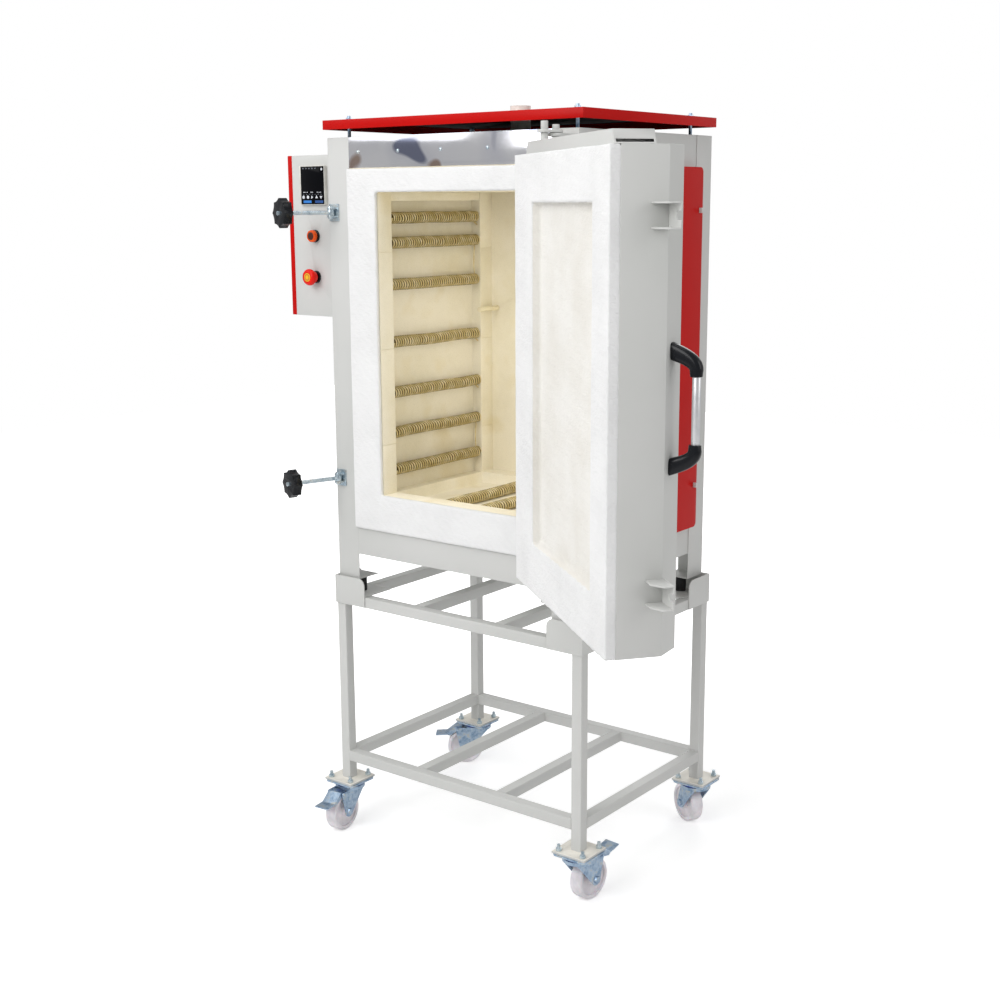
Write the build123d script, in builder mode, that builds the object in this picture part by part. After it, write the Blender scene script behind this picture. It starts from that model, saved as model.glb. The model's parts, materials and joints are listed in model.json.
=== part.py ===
# Front-loading electric ceramic kiln on a wheeled stand, drawn with its door swung open.
# Millimetres, +Z up. While it is drawn, X = 0 is the middle of the casing, Y = 0 its front face
# and Z = 0 the floor; at the end every piece moves so that the origin is the middle of the footprint.
import os
from cmath import exp
from math import cos, pi, radians, sin

from build123d import *

os.makedirs("parts", exist_ok=True)

# Sheet, play and seats
post_sheet = 2.0            # folded posts, front beam and front plate
skin_sheet = 1.5            # casing skin and covers
seat_gap = 0.3              # between faces of bodies that move against each other
running_gap = 0.05          # radial play of pins, axles and stems in their bores
tool_reach = 1.0            # how far a cutting solid runs past the face it opens

# Casing
casing_width = 720.0
casing_depth = 550.0
casing_height = 998.0
casing_lift = 730.0         # underside of the casing above the floor
post_width = 68.0
post_foot = 65.0            # how far the posts run down below the casing
beam_height = 68.5
plate_height = 70.0

# Chamber
chamber_floor = 887.4
chamber_ceiling = 1602.5
back_wall = 121.0           # chamber's back to the casing's back
pilaster_front = 49.0       # rear face of the front pilasters
pilaster_rear_depth = 46.0
recess_depth = 28.0         # element recess in each side wall
floor_recess = 28.4
joint_width = 1.5           # open joints between the bricks
joint_heights = (1464.0, 1236.0, 1007.0)

# Fibre frame round the chamber mouth
frame_lap = 3.0             # how far the frame reaches over each post
frame_board = 89.0          # width of its upright boards
frame_bottom = 798.5
frame_top = 1655.5
frame_proud = 8.6

# Heating elements
element_heights = (1543.0, 1485.0, 1387.0, 1250.0, 1129.0, 1032.0, 941.0)
element_tube_radius = 10.0
element_seat = 8.0          # depth of a tube's seat in the brick
element_inset = 14.0        # pilaster face to the axis of the tubes behind it
floor_element_half = 55.0
wire_size = 2.6
wire_turn_radius = 12.3     # tube axis to wire axis
wire_start = 68.0
wire_rear_gap = 15.0        # rear pilasters to the ends of the windings

# Stand
stand_margin = 12.0         # how far the stand is wider than the casing on each side
stand_shift = 6.0           # the casing stands this much off the middle of its stand
stand_lead = 5.0            # how far the stand stands out in front of the casing
stand_tail = 1.0            # and behind it
tube_size = 27.0
tube_wall = 2.0
tube_corner = 2.5
leg_length = 492.0
lower_rail = 178.0          # underside of the lower rails
bracket_length = 98.0
bracket_height = 72.0
bracket_sheet = 3.0
bracket_corner = 18.0
bracket_drop = 26.0         # how far the corner brackets reach down beside the legs
foot_inset = 38.0
foot_radius = 14.0

# Castors
castor_height = 125.0
pad_size = 90.0
pad_sheet = 5.0
castor_plate_size = 96.0
castor_plate_chamfer = 12.0
castor_plate_sheet = 4.0
bolt_spacing = 66.0
bolt_radius = 4.0
bolt_hole_radius = 4.3
bolt_flats = 13.0
bolt_head = 5.3
nut_height = 6.5
bolt_tip = 9.0              # thread that stands out of the nut
wheel_radius = 50.0
wheel_width = 32.0
wheel_web = 20.0
wheel_rim = 10.0
tread_corner = 5.0
hub_radius = 15.0
hub_width = 40.0
axle_radius = 6.0
axle_head_radius = 9.0
axle_head = 5.0
castor_trail = 35.0
fork_sheet = 3.0
fork_half = 21.0            # middle to the inside of a fork arm
fork_crown_radius = 38.0
fork_crown_top = 107.0
fork_foot_radius = 14.0
fork_shoulder = 30.0
cup_wall = 3.0
cup_height = 5.5
race_radius = 30.0
kingpin_radius = 7.0
kingpin_head_radius = 11.0
kingpin_head = 3.0
seal_radius = 37.0
seal_height = 7.5
pedal_pin = (56.0, 102.0)   # along the trail and above the floor
pedal_pin_radius = 3.0
pedal_ear_radius = 5.0
pedal_half = 19.5
pedal_sheet = 3.0
pedal_stroke = 20.0
pedal_cover = ((46.0, 108.0), (62.0, 107.0), (88.0, 86.0), (118.0, 84.0))
pedal_cheek = ((46.0, 108.0), (62.0, 107.0), (88.0, 86.0), (80.0, 82.0), (56.0, 97.0))
castor_headings = {"front_left": -85.0, "front_right": 84.0, "rear_left": -145.0, "rear_right": 151.0}
pedals_down = ("front_left", "rear_left")
pedals_up = ("front_right",)

# Roof and vent
roof_overhang = {"left": 5.0, "right": 16.0, "front": 9.0}
roof_rim = 21.4
roof_gap = 18.6             # casing top to the rim of the roof tray
stud_inset = 44.0
stud_radius = 4.0
stud_tip = 4.0
vent_radius = 24.0
vent_bore_radius = 16.0
vent_place = 280.0          # casing front to the vent's axis
vent_proud = 31.0
vent_clearance = 1.0

# Side terminal cover
cover_proud = 21.0
cover_inset = 72.0          # from the casing's front and back
cover_bottom = 803.0
cover_top = 1655.0
cover_corner = 12.0
hook_heights = (1557.0, 908.0)
hook_inset = 18.0           # from the cover's rear edge
hook_width = 12.0
hook_reach = 9.0
hook_sheet = 3.0
hook_lip = 8.0

# Control box
box_width = 141.0
box_front = 20.0
box_depth = 300.0
box_bottom = 1307.0
box_height = 384.0
box_cover = 15.0
control_inset = 68.5        # casing to the axis of the buttons
controller_inset = 65.5     # casing to the middle of the controller
controller_z = 1620.0
controller_width = 84.0
controller_height = 92.0
controller_lap = 3.0        # how far its face laps over the edge of its cut-out
controller_bezel = 10.0
controller_corner = 2.0
controller_length = 70.0
start_z = 1500.0
stop_z = 1402.0
collar_radius = 15.0
collar_proud = 5.0
start_radius = 14.5
start_height = 9.0
start_travel = 3.0
stop_head_radius = 20.0
stop_head = 14.0
stop_neck_radius = 11.0
stop_neck = 9.0
stop_travel = 5.0
button_edge = 2.0           # bevel of the button heads
stem_radius = 6.0
stem_length = 30.0
gland_radius = 11.0
gland_length = 22.0
gland_bore_radius = 5.0

# Door
door_bottom = 799.0
door_top = 1670.0
door_fibre_proud = 20.0
door_side = 104.0           # fibre face to the start of the chamfer
door_depth = 145.0
door_sheet = 2.0
door_fill = 70.0            # how deep the fibre fills the shell
panel_left = 125.0
panel_inset = 89.0          # free edge to the sunk panel
panel_bottom = 900.0
panel_top = 1577.0
panel_depth = 19.0
open_corner_inset = 46.0    # hinge-side corner of the fibre face, door open: in from the casing's side
open_corner_reach = 160.0   # and out from its front
opening_angle = 142.1
cap_start = 58.0
cap_front = 8.0
cap_rear = 81.0
cap_height = 24.0
cap_slope = 12.0
cap_slot = (2.7, 7.7)       # bottom and top of the slot above the door
cap_slot_front = 4.0

# Double-pivot hinges
casing_pin_inset = 16.0
casing_pin_reach = 60.0
link_turn = 14.2            # the link's own share of the opening angle
hinge_plate = 6.0
hinge_rise = 39.0           # door edge to the underside of the casing bracket
hinge_step = 1.0
hinge_eye_radius = 16.0
link_eye_radius = 15.0
hinge_pin_radius = 5.0
casing_pin_head = 10.0
door_pin_head = 17.0
pin_head_radius = 7.5
barrel_radius = 8.0
arm_sheet = 8.0
arm_length = 52.0
arm_half = 17.0
hinge_root = (-48.0, 14.0)  # bracket weld either side of the pin along X

# Latches
bolt_levels = {"upper": 1556.0, "lower": 917.0}
latch_inset = 18.0          # casing side to the pivot of the swing bolts
latch_reach_out = 14.0      # casing front to the pivot
latch_swing = 18.0          # rest angle off straight ahead, away from the door
rod_radius = 5.0
eye_radius = 8.0
eye_half = 7.0
lug_half = 11.5
lug_sheet = 4.0
lug_radius = 9.0
lug_base_half = 15.0
lug_base_height = 40.0
lug_base_sheet = 3.0
latch_pin_radius = 4.0
latch_pin_head_radius = 6.5
latch_pin_head = 3.0
knob_reach = 124.0          # pivot to the middle of the star knob
knob_radius = 35.0          # to the points of its star
knob_lobes = 8
knob_scallop = 5.5          # depth of the hollows between the points
knob_point = 1.5            # rounding of the points
knob_thickness = 22.0
knob_neck_radius = 13.0
knob_neck = 9.0
rod_tip = 4.0
latch_height = 44.0
latch_sheet = 3.0
latch_root = 73.0           # depth where a flange starts on the door's edge
latch_shoulder = (71.0, 28.0)
latch_corner = (88.0, 51.0)
latch_web = 107.0
latch_reach = 52.0
notch_reach = 39.0
notch_radius = 7.5

# Door handle
handle_inset = 18.0         # free edge to the handle's root
handle_levels = (1335.0, 1125.0)
handle_standoff = 45.0
handle_bend = 25.0
handle_end_radius = 10.5
handle_end_length = 22.0
handle_tube_radius = 7.5
handle_socket = 12.0
handle_pad = (24.0, 38.0)
handle_pad_sheet = 5.0

# Thermocouple
probe_inset = 18.0          # left pilaster face to the probe
probe_z = 1312.0
probe_radius = 6.0
probe_length = 76.0

# Heights and places that follow from the sizes above
pad_top = castor_height + pad_sheet
leg_top = pad_top + leg_length
casing_top = casing_lift + casing_height
half_width = casing_width / 2
inner_half = half_width - post_sheet - skin_sheet
inner_back = casing_depth - post_sheet - skin_sheet
window_half = half_width - post_width
frame_half = window_half + frame_lap
chamber_half = frame_half - frame_board
chamber_depth = casing_depth - back_wall
pilaster_rear = chamber_depth - pilaster_rear_depth
element_half = chamber_half + element_inset
wire_end = pilaster_rear - wire_rear_gap
probe_x = probe_inset - chamber_half
stand_width = casing_width + 2 * stand_margin
stand_depth = casing_depth + stand_lead + stand_tail
stand_front = -stand_lead
cross_bar_places = (stand_shift - stand_width / 6, stand_shift + stand_width / 6)
roof_depth = casing_depth
control_x = -half_width - control_inset
controller_x = -half_width - controller_inset
controller_body = (controller_width - 2 * controller_lap, controller_height - 2 * controller_lap)
cover_front = cover_inset
cover_rear = casing_depth - cover_inset
hook_place = cover_rear - hook_inset
door_width = 2 * frame_half
panel_right = door_width - panel_inset
handle_place = door_width - handle_inset
casing_pin = half_width - casing_pin_inset - 1j * casing_pin_reach
open_corner = half_width - open_corner_inset - 1j * open_corner_reach
latch_pivot_x = latch_inset - half_width
latch_pivot_y = -latch_reach_out
leg_inset = tube_size / 2
leg_left = stand_shift - stand_width / 2 + leg_inset
leg_right = stand_shift + stand_width / 2 - leg_inset
leg_front = stand_front + leg_inset
leg_rear = stand_front + stand_depth - leg_inset
leg_places = {
    "front_left": (leg_left, leg_front),
    "front_right": (leg_right, leg_front),
    "rear_left": (leg_left, leg_rear),
    "rear_right": (leg_right, leg_rear),
}
shelf_top = leg_top + bracket_sheet
post_bottom = casing_lift - post_foot
roof_underside = casing_top + roof_gap + roof_rim - skin_sheet
roof_top = casing_top + roof_gap + roof_rim
roof_left = -half_width - roof_overhang["left"]
roof_right = half_width + roof_overhang["right"]
roof_front = -roof_overhang["front"]
closed_corner = frame_half - 1j * frame_proud

# The door turns on a short link. Its pin is the one point that ends up right both ways round:
# carried by the link's turn or by the whole turn of the door, it reaches the same place.
whole_turn = exp(1j * radians(opening_angle))
part_turn = exp(1j * radians(link_turn))
door_pin_closed = (
    open_corner - casing_pin + part_turn * casing_pin - whole_turn * closed_corner
) / (part_turn - whole_turn)
door_pin = casing_pin + part_turn * (door_pin_closed - casing_pin)
door_angle = opening_angle - 180.0
door_plane = Plane(
    origin=(open_corner.real, open_corner.imag, 0),
    x_dir=(cos(radians(door_angle)), sin(radians(door_angle)), 0),
    z_dir=(0, 0, 1),
)

finished = []


def finish(shape, name):
    shape.label = name
    finished.append(shape)


def front_plane(depth):
    # Seen from the front: sketch x is X, sketch y is Z, and a negative extrusion runs to the back
    return Plane.XZ.offset(-depth)


def side_plane(place):
    # Seen from the right: sketch x is Y, sketch y is Z
    return Plane.YZ.offset(place)


def span(low_x, high_x, low_y, high_y):
    # Rectangle between two corners of the sketch
    with Locations(((low_x + high_x) / 2, (low_y + high_y) / 2)):
        Rectangle(high_x - low_x, high_y - low_y)


def tube_section():
    RectangleRounded(tube_size, tube_size, tube_corner)
    Rectangle(tube_size - 2 * tube_wall, tube_size - 2 * tube_wall, mode=Mode.SUBTRACT)


# Stand: four legs, each welded to the pad that its castor bolts to
with BuildPart() as stand_legs:
    with BuildSketch(Plane.XY.offset(castor_height)):
        with Locations(*leg_places.values()):
            Rectangle(pad_size, pad_size)
        for place in leg_places.values():
            with Locations(place):
                with GridLocations(bolt_spacing, bolt_spacing, 2, 2):
                    Circle(bolt_hole_radius, mode=Mode.SUBTRACT)
    extrude(amount=pad_sheet)
    with BuildSketch(Plane.XY.offset(pad_top)):
        with Locations(*leg_places.values()):
            tube_section()
    extrude(amount=leg_length - tube_wall)
    with BuildSketch(Plane.XY.offset(leg_top - tube_wall)):
        with Locations(*leg_places.values()):
            RectangleRounded(tube_size, tube_size, tube_corner)
    extrude(amount=tube_wall)
finish(stand_legs.part, "stand_legs")


def rail_frame(underside):
    # Rectangle of tubes between the legs, with two bars from front to back
    middle = underside + tube_size / 2
    with BuildPart() as frame:
        for depth in (leg_front, leg_rear):
            with BuildSketch(side_plane(leg_left + leg_inset)):
                with Locations((depth, middle)):
                    tube_section()
            extrude(amount=leg_right - leg_left - tube_size)
        for place in (leg_left, *cross_bar_places, leg_right):
            with BuildSketch(front_plane(leg_front + leg_inset)):
                with Locations((place, middle)):
                    tube_section()
            extrude(amount=-(leg_rear - leg_front - tube_size))
    return frame.part


finish(rail_frame(leg_top - tube_size), "stand_upper_frame")
finish(rail_frame(lower_rail), "stand_lower_frame")


# Corner brackets: two folded walls outside each leg and a shelf that carries the foot of a post
with BuildPart() as stand_corner_brackets:
    bracket_bottom = leg_top - bracket_drop
    bracket_top = bracket_bottom + bracket_height
    for name, place in leg_places.items():
        toward_x = 1 if "left" in name else -1
        toward_y = 1 if "front" in name else -1
        near_x = place[0] - toward_x * leg_inset
        near_y = place[1] - toward_y * leg_inset
        outer_x = near_x - toward_x * bracket_sheet
        outer_y = near_y - toward_y * bracket_sheet
        walls = (
            (front_plane(outer_y), outer_x, toward_x, -toward_y),
            (side_plane(outer_x), outer_y, toward_y, toward_x),
        )
        for plane, start, run, inward in walls:
            with BuildSketch(plane) as wall:
                low, high = sorted((start, start + run * bracket_length))
                span(low, high, bracket_bottom, bracket_top)
                upper = wall.vertices().group_by(Axis.Y)[-1].sort_by(Axis.X)
                fillet(upper[-1] if run > 0 else upper[0], bracket_corner)
            extrude(amount=inward * bracket_sheet)
        with BuildSketch(Plane.XY.offset(leg_top)):
            low_x, high_x = sorted((near_x, near_x + toward_x * (bracket_length - bracket_sheet)))
            low_y, high_y = sorted((near_y, near_y + toward_y * (bracket_length - bracket_sheet)))
            span(low_x, high_x, low_y, high_y)
        extrude(amount=bracket_sheet)
finish(stand_corner_brackets.part, "stand_corner_brackets")

# Castors: a plate with its swivel race and riveted kingpin, and a blue dust seal round the race
with BuildPart() as castor_top_plates:
    plate_bottom = castor_height - castor_plate_sheet
    with BuildSketch(Plane.XY.offset(plate_bottom)):
        with Locations(*leg_places.values()):
            with BuildSketch(mode=Mode.PRIVATE) as plate_outline:
                Rectangle(castor_plate_size, castor_plate_size)
                chamfer(plate_outline.vertices(), castor_plate_chamfer)
            add(plate_outline.sketch)
        for place in leg_places.values():
            with Locations(place):
                with GridLocations(bolt_spacing, bolt_spacing, 2, 2):
                    Circle(bolt_hole_radius, mode=Mode.SUBTRACT)
    extrude(amount=castor_plate_sheet)
    race_bottom = fork_crown_top + seat_gap
    with BuildSketch(Plane.XY.offset(race_bottom)):
        with Locations(*leg_places.values()):
            Circle(race_radius)
    extrude(amount=plate_bottom - race_bottom)
    pin_bottom = fork_crown_top - fork_sheet - seat_gap
    with BuildSketch(Plane.XY.offset(pin_bottom)):
        with Locations(*leg_places.values()):
            Circle(kingpin_radius)
    extrude(amount=race_bottom - pin_bottom)
    with BuildSketch(Plane.XY.offset(pin_bottom)):
        with Locations(*leg_places.values()):
            Circle(kingpin_head_radius)
    extrude(amount=-kingpin_head)
finish(castor_top_plates.part, "castor_top_plates")

with BuildPart() as castor_seals:
    with BuildSketch(Plane.XY.offset(plate_bottom)):
        with Locations(*leg_places.values()):
            Circle(seal_radius)
            Circle(race_radius + seat_gap, mode=Mode.SUBTRACT)
    extrude(amount=-seal_height)
finish(castor_seals.part, "castor_seals")

with BuildPart() as castor_bolts:
    bolt_ends = ((plate_bottom, -bolt_head), (pad_top, nut_height))
    for place in leg_places.values():
        for level, height in bolt_ends:
            with BuildSketch(Plane.XY.offset(level)):
                with Locations(place):
                    with GridLocations(bolt_spacing, bolt_spacing, 2, 2):
                        RegularPolygon(bolt_flats / 2, 6, major_radius=False)
            extrude(amount=height)
        with BuildSketch(Plane.XY.offset(plate_bottom)):
            with Locations(place):
                with GridLocations(bolt_spacing, bolt_spacing, 2, 2):
                    Circle(bolt_radius)
        extrude(amount=pad_top + nut_height + bolt_tip - plate_bottom)
finish(castor_bolts.part, "castor_bolts")


class Castor:
    # Planes of one castor: x runs along the trail, from the swivel axis to behind the wheel
    def __init__(self, corner):
        self.place = leg_places[corner]
        turn = radians(castor_headings[corner])
        self.trail = (cos(turn), sin(turn), 0)
        self.across = (sin(turn), -cos(turn), 0)
        self.side = Plane(origin=(*self.place, 0), x_dir=self.trail, z_dir=self.across)
        axle_x = self.place[0] + castor_trail * cos(turn)
        axle_y = self.place[1] + castor_trail * sin(turn)
        self.axle_point = (axle_x, axle_y, wheel_radius)
        self.axle = Axis(self.axle_point, self.across)
        self.wheel_section = Plane(origin=self.axle_point, x_dir=self.trail, z_dir=(0, 0, -1))

    def level(self, height):
        return Plane(origin=(*self.place, height), x_dir=self.trail, z_dir=(0, 0, 1))


def castor_fork(castor, braked):
    crown_bottom = fork_crown_top - fork_sheet
    with BuildPart() as fork:
        with BuildSketch(castor.level(crown_bottom)):
            Circle(fork_crown_radius)
            Circle(kingpin_radius + running_gap, mode=Mode.SUBTRACT)
        extrude(amount=fork_sheet)
        with BuildSketch(castor.level(fork_crown_top)):
            Circle(fork_crown_radius)
            Circle(fork_crown_radius - cup_wall, mode=Mode.SUBTRACT)
        extrude(amount=cup_height)
        for side in (-1, 1):
            with BuildSketch(castor.side.offset(side * fork_half)):
                span(-fork_shoulder, fork_shoulder, crown_bottom, fork_crown_top)
                with Locations((castor_trail, wheel_radius)):
                    Circle(fork_foot_radius)
                if braked:
                    with Locations(pedal_pin):
                        Circle(pedal_ear_radius)
                make_hull()
                with Locations((castor_trail, wheel_radius)):
                    Circle(axle_radius + running_gap, mode=Mode.SUBTRACT)
                if braked:
                    with Locations(pedal_pin):
                        Circle(pedal_pin_radius + running_gap, mode=Mode.SUBTRACT)
            extrude(amount=side * fork_sheet)
        with BuildSketch(castor.side.offset(-fork_half - fork_sheet)):
            with Locations((castor_trail, wheel_radius)):
                Circle(axle_radius)
        extrude(amount=2 * (fork_half + fork_sheet))
        for side in (-1, 1):
            with BuildSketch(castor.side.offset(side * (fork_half + fork_sheet))):
                with Locations((castor_trail, wheel_radius)):
                    RegularPolygon(axle_head_radius, 6)
            extrude(amount=side * axle_head)
    return fork.part


def castor_wheel(castor):
    bore = axle_radius + running_gap
    with BuildPart() as wheel:
        with BuildSketch(castor.wheel_section) as section:
            span(bore, hub_radius, -hub_width / 2, hub_width / 2)
            span(hub_radius, wheel_radius - wheel_rim, -wheel_web / 2, wheel_web / 2)
            span(wheel_radius - wheel_rim, wheel_radius, -wheel_width / 2, wheel_width / 2)
            fillet(section.vertices().group_by(Axis.X)[-1], tread_corner)
        revolve(axis=castor.axle)
    return wheel.part


def brake_pedal(castor, lift):
    # Bent cover over the wheel with a toe lip, turned up about its pin by the lift in degrees
    pivot = Axis((*pedal_pin, 0), (0, 0, 1))
    with BuildSketch(mode=Mode.PRIVATE) as cover_flat:
        with BuildLine():
            Polyline(*pedal_cover)
            offset(amount=pedal_sheet / 2)
        make_face()
    with BuildSketch(mode=Mode.PRIVATE) as cheek_flat:
        with BuildLine():
            Polyline(*pedal_cheek, close=True)
        make_face()
    with BuildPart() as pedal:
        with BuildSketch(castor.side):
            add(cover_flat.sketch.rotate(pivot, lift))
        extrude(amount=pedal_half, both=True)
        for side in (-1, 1):
            with BuildSketch(castor.side.offset(side * pedal_half)):
                add(cheek_flat.sketch.rotate(pivot, lift))
            extrude(amount=-side * pedal_sheet)
        with BuildSketch(castor.side):
            with Locations(pedal_pin):
                Circle(pedal_pin_radius)
        extrude(amount=fork_half + 2 * fork_sheet, both=True)
    return pedal.part


for corner in leg_places:
    castor = Castor(corner)
    braked = corner in pedals_down + pedals_up
    finish(castor_fork(castor, braked), f"castor_fork_{corner}")
    finish(castor_wheel(castor), f"castor_wheel_{corner}")
    if braked:
        lift = pedal_stroke if corner in pedals_up else 0
        finish(brake_pedal(castor, lift), f"brake_pedal_{corner}")

# Rubber feet between the stand's shelves and the foot plates of the posts
foot_places = [
    (side * (half_width - foot_inset), depth)
    for side in (-1, 1)
    for depth in (foot_inset, casing_depth - foot_inset)
]
with BuildPart() as rubber_feet:
    with BuildSketch(Plane.XY.offset(shelf_top)):
        with Locations(*foot_places):
            Circle(foot_radius)
    extrude(amount=post_bottom - shelf_top)
finish(rubber_feet.part, "rubber_feet")

# Casing posts: L sections with a foot plate welded in at the bottom
with BuildPart() as casing_posts:
    for side in (-1, 1):
        for face, inward in ((0, 1), (casing_depth, -1)):
            corner = (side * half_width, face)
            inner = (corner[0] - side * post_sheet, corner[1] + inward * post_sheet)
            far = (corner[0] - side * post_width, corner[1] + inward * post_width)
            with BuildSketch(Plane.XY.offset(post_bottom)):
                with BuildLine():
                    Polyline(
                        corner,
                        (far[0], corner[1]),
                        (far[0], inner[1]),
                        inner,
                        (inner[0], far[1]),
                        (corner[0], far[1]),
                        close=True,
                    )
                make_face()
            extrude(amount=casing_top - post_bottom)
            with BuildSketch(Plane.XY.offset(post_bottom)):
                low_x, high_x = sorted((inner[0], far[0]))
                low_y, high_y = sorted((inner[1], far[1]))
                span(low_x, high_x, low_y, high_y)
            extrude(amount=post_sheet)
finish(casing_posts.part, "casing_posts")

# Casing skin: sides and back folded from one sheet, with the bottom welded in, open to the front
with BuildPart() as casing_skin:
    outer_half = half_width - post_sheet
    outer_back = casing_depth - post_sheet
    with BuildSketch(Plane.XY.offset(casing_lift)):
        span(-outer_half, outer_half, post_sheet, outer_back)
        with Locations((0, (post_sheet + inner_back) / 2)):
            Rectangle(2 * inner_half, inner_back - post_sheet, mode=Mode.SUBTRACT)
    extrude(amount=casing_height)
    with BuildSketch(Plane.XY.offset(casing_lift)):
        span(-inner_half, inner_half, post_sheet, inner_back)
    extrude(amount=skin_sheet)
finish(casing_skin.part, "casing_skin")

with BuildPart() as casing_lid:
    with BuildSketch(Plane.XY.offset(casing_top - skin_sheet)):
        span(-inner_half, inner_half, post_sheet, inner_back)
        with Locations((0, vent_place)):
            Circle(vent_radius + vent_clearance, mode=Mode.SUBTRACT)
    extrude(amount=skin_sheet)
finish(casing_lid.part, "casing_lid")

# Front beam below the fibre frame and bright plate above it, both between the posts
with BuildPart() as front_beam:
    with BuildSketch(front_plane(0)):
        span(-window_half, window_half, casing_lift, casing_lift + beam_height)
    extrude(amount=-post_sheet)
finish(front_beam.part, "front_beam")

with BuildPart() as front_plate:
    with BuildSketch(front_plane(0)):
        span(-window_half, window_half, casing_top - plate_height, casing_top)
    extrude(amount=-post_sheet)
finish(front_plate.part, "front_plate")

# Fibre frame: a flange in front of the posts and a rebate between them
with BuildPart() as fibre_frame:
    flange = (-frame_proud, frame_proud, frame_half)
    rebate = (0, post_sheet, window_half)
    for depth, thickness, half in (flange, rebate):
        with BuildSketch(front_plane(depth)):
            span(-half, half, frame_bottom, frame_top)
            with Locations((0, (chamber_floor + chamber_ceiling) / 2)):
                Rectangle(2 * chamber_half, chamber_ceiling - chamber_floor, mode=Mode.SUBTRACT)
        extrude(amount=-thickness)
finish(fibre_frame.part, "fibre_frame")

# Brickwork: side walls with pilasters front and rear, the element recess between them,
# blind holes for the element tubes and open joints in the pilasters
recess_half = chamber_half + recess_depth
seat_radius = element_tube_radius + seat_gap
with BuildPart() as brick_side_walls:
    for side in (-1, 1):
        with BuildSketch(Plane.XY.offset(chamber_floor)):
            with BuildLine():
                Polyline(
                    (side * inner_half, post_sheet),
                    (side * chamber_half, post_sheet),
                    (side * chamber_half, pilaster_front),
                    (side * recess_half, pilaster_front),
                    (side * recess_half, pilaster_rear),
                    (side * chamber_half, pilaster_rear),
                    (side * chamber_half, chamber_depth),
                    (side * inner_half, chamber_depth),
                    close=True,
                )
            make_face()
        extrude(amount=chamber_ceiling - chamber_floor)
        with BuildSketch(front_plane(pilaster_front - element_seat)):
            with Locations(*[(side * element_half, height) for height in element_heights]):
                Circle(seat_radius)
        extrude(amount=-(pilaster_rear - pilaster_front + 2 * element_seat), mode=Mode.SUBTRACT)
        for height in joint_heights:
            with BuildSketch(Plane.XY.offset(height)):
                joint_faces = (side * (chamber_half - tool_reach), side * (chamber_half + joint_width))
                low_x, high_x = sorted(joint_faces)
                span(low_x, high_x, post_sheet, pilaster_front)
                span(low_x, high_x, pilaster_rear, chamber_depth)
            extrude(amount=joint_width, mode=Mode.SUBTRACT)
finish(brick_side_walls.part, "brick_side_walls")

with BuildPart() as brick_back_wall:
    with BuildSketch(front_plane(chamber_depth)):
        span(-inner_half, inner_half, chamber_floor, chamber_ceiling)
        with Locations((probe_x, probe_z)):
            Circle(probe_radius + seat_gap, mode=Mode.SUBTRACT)
    extrude(amount=-(inner_back - chamber_depth))
finish(brick_back_wall.part, "brick_back_wall")

floor_recess_level = chamber_floor - floor_recess
floor_element_level = floor_recess_level + wire_turn_radius + wire_size / 2 + seat_gap
with BuildPart() as brick_floor:
    with BuildSketch(Plane.XY.offset(casing_lift + skin_sheet)):
        span(-inner_half, inner_half, post_sheet, inner_back)
    extrude(amount=chamber_floor - casing_lift - skin_sheet)
    with BuildSketch(Plane.XY.offset(floor_recess_level)):
        span(-chamber_half, chamber_half, pilaster_front, pilaster_rear)
    extrude(amount=floor_recess, mode=Mode.SUBTRACT)
    with BuildSketch(front_plane(pilaster_front - element_seat)):
        with Locations(*[(side * floor_element_half, floor_element_level) for side in (-1, 1)]):
            Circle(seat_radius)
    extrude(amount=-(pilaster_rear - pilaster_front + 2 * element_seat), mode=Mode.SUBTRACT)
finish(brick_floor.part, "brick_floor")

with BuildPart() as brick_ceiling:
    with BuildSketch(Plane.XY.offset(chamber_ceiling)):
        span(-inner_half, inner_half, post_sheet, inner_back)
        with Locations((0, vent_place)):
            Circle(vent_radius + seat_gap, mode=Mode.SUBTRACT)
    extrude(amount=casing_top - skin_sheet - chamber_ceiling)
finish(brick_ceiling.part, "brick_ceiling")

# Heating elements: ceramic tubes in the brick seats, each wound with resistance wire
element_places = [(side * element_half, height) for side in (-1, 1) for height in element_heights]
element_places += [(side * floor_element_half, floor_element_level) for side in (-1, 1)]
with BuildPart() as element_tubes:
    with BuildSketch(front_plane(pilaster_front - element_seat + seat_gap)):
        with Locations(*element_places):
            Circle(element_tube_radius)
    extrude(amount=-(pilaster_rear - pilaster_front + 2 * (element_seat - seat_gap)))
finish(element_tubes.part, "element_tubes")

with BuildPart() as element_windings:
    with BuildSketch(front_plane(wire_start)):
        with Locations(*element_places):
            Circle(wire_turn_radius + wire_size / 2)
            Circle(wire_turn_radius - wire_size / 2, mode=Mode.SUBTRACT)
    extrude(amount=-(wire_end - wire_start))
finish(element_windings.part, "element_windings")

# Vent tube through the roof, the lid and the ceiling
with BuildPart() as vent_tube:
    with BuildSketch(Plane.XY.offset(chamber_ceiling)):
        with Locations((0, vent_place)):
            Circle(vent_radius)
            Circle(vent_bore_radius, mode=Mode.SUBTRACT)
    extrude(amount=roof_top + vent_proud - chamber_ceiling)
finish(vent_tube.part, "vent_tube")

# Thermocouple: a ceramic sheath through the back wall
with BuildPart() as thermocouple:
    with BuildSketch(front_plane(chamber_depth - probe_length)):
        with Locations((probe_x, probe_z)):
            Circle(probe_radius)
    extrude(amount=-(probe_length + inner_back - chamber_depth))
finish(thermocouple.part, "thermocouple")

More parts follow.
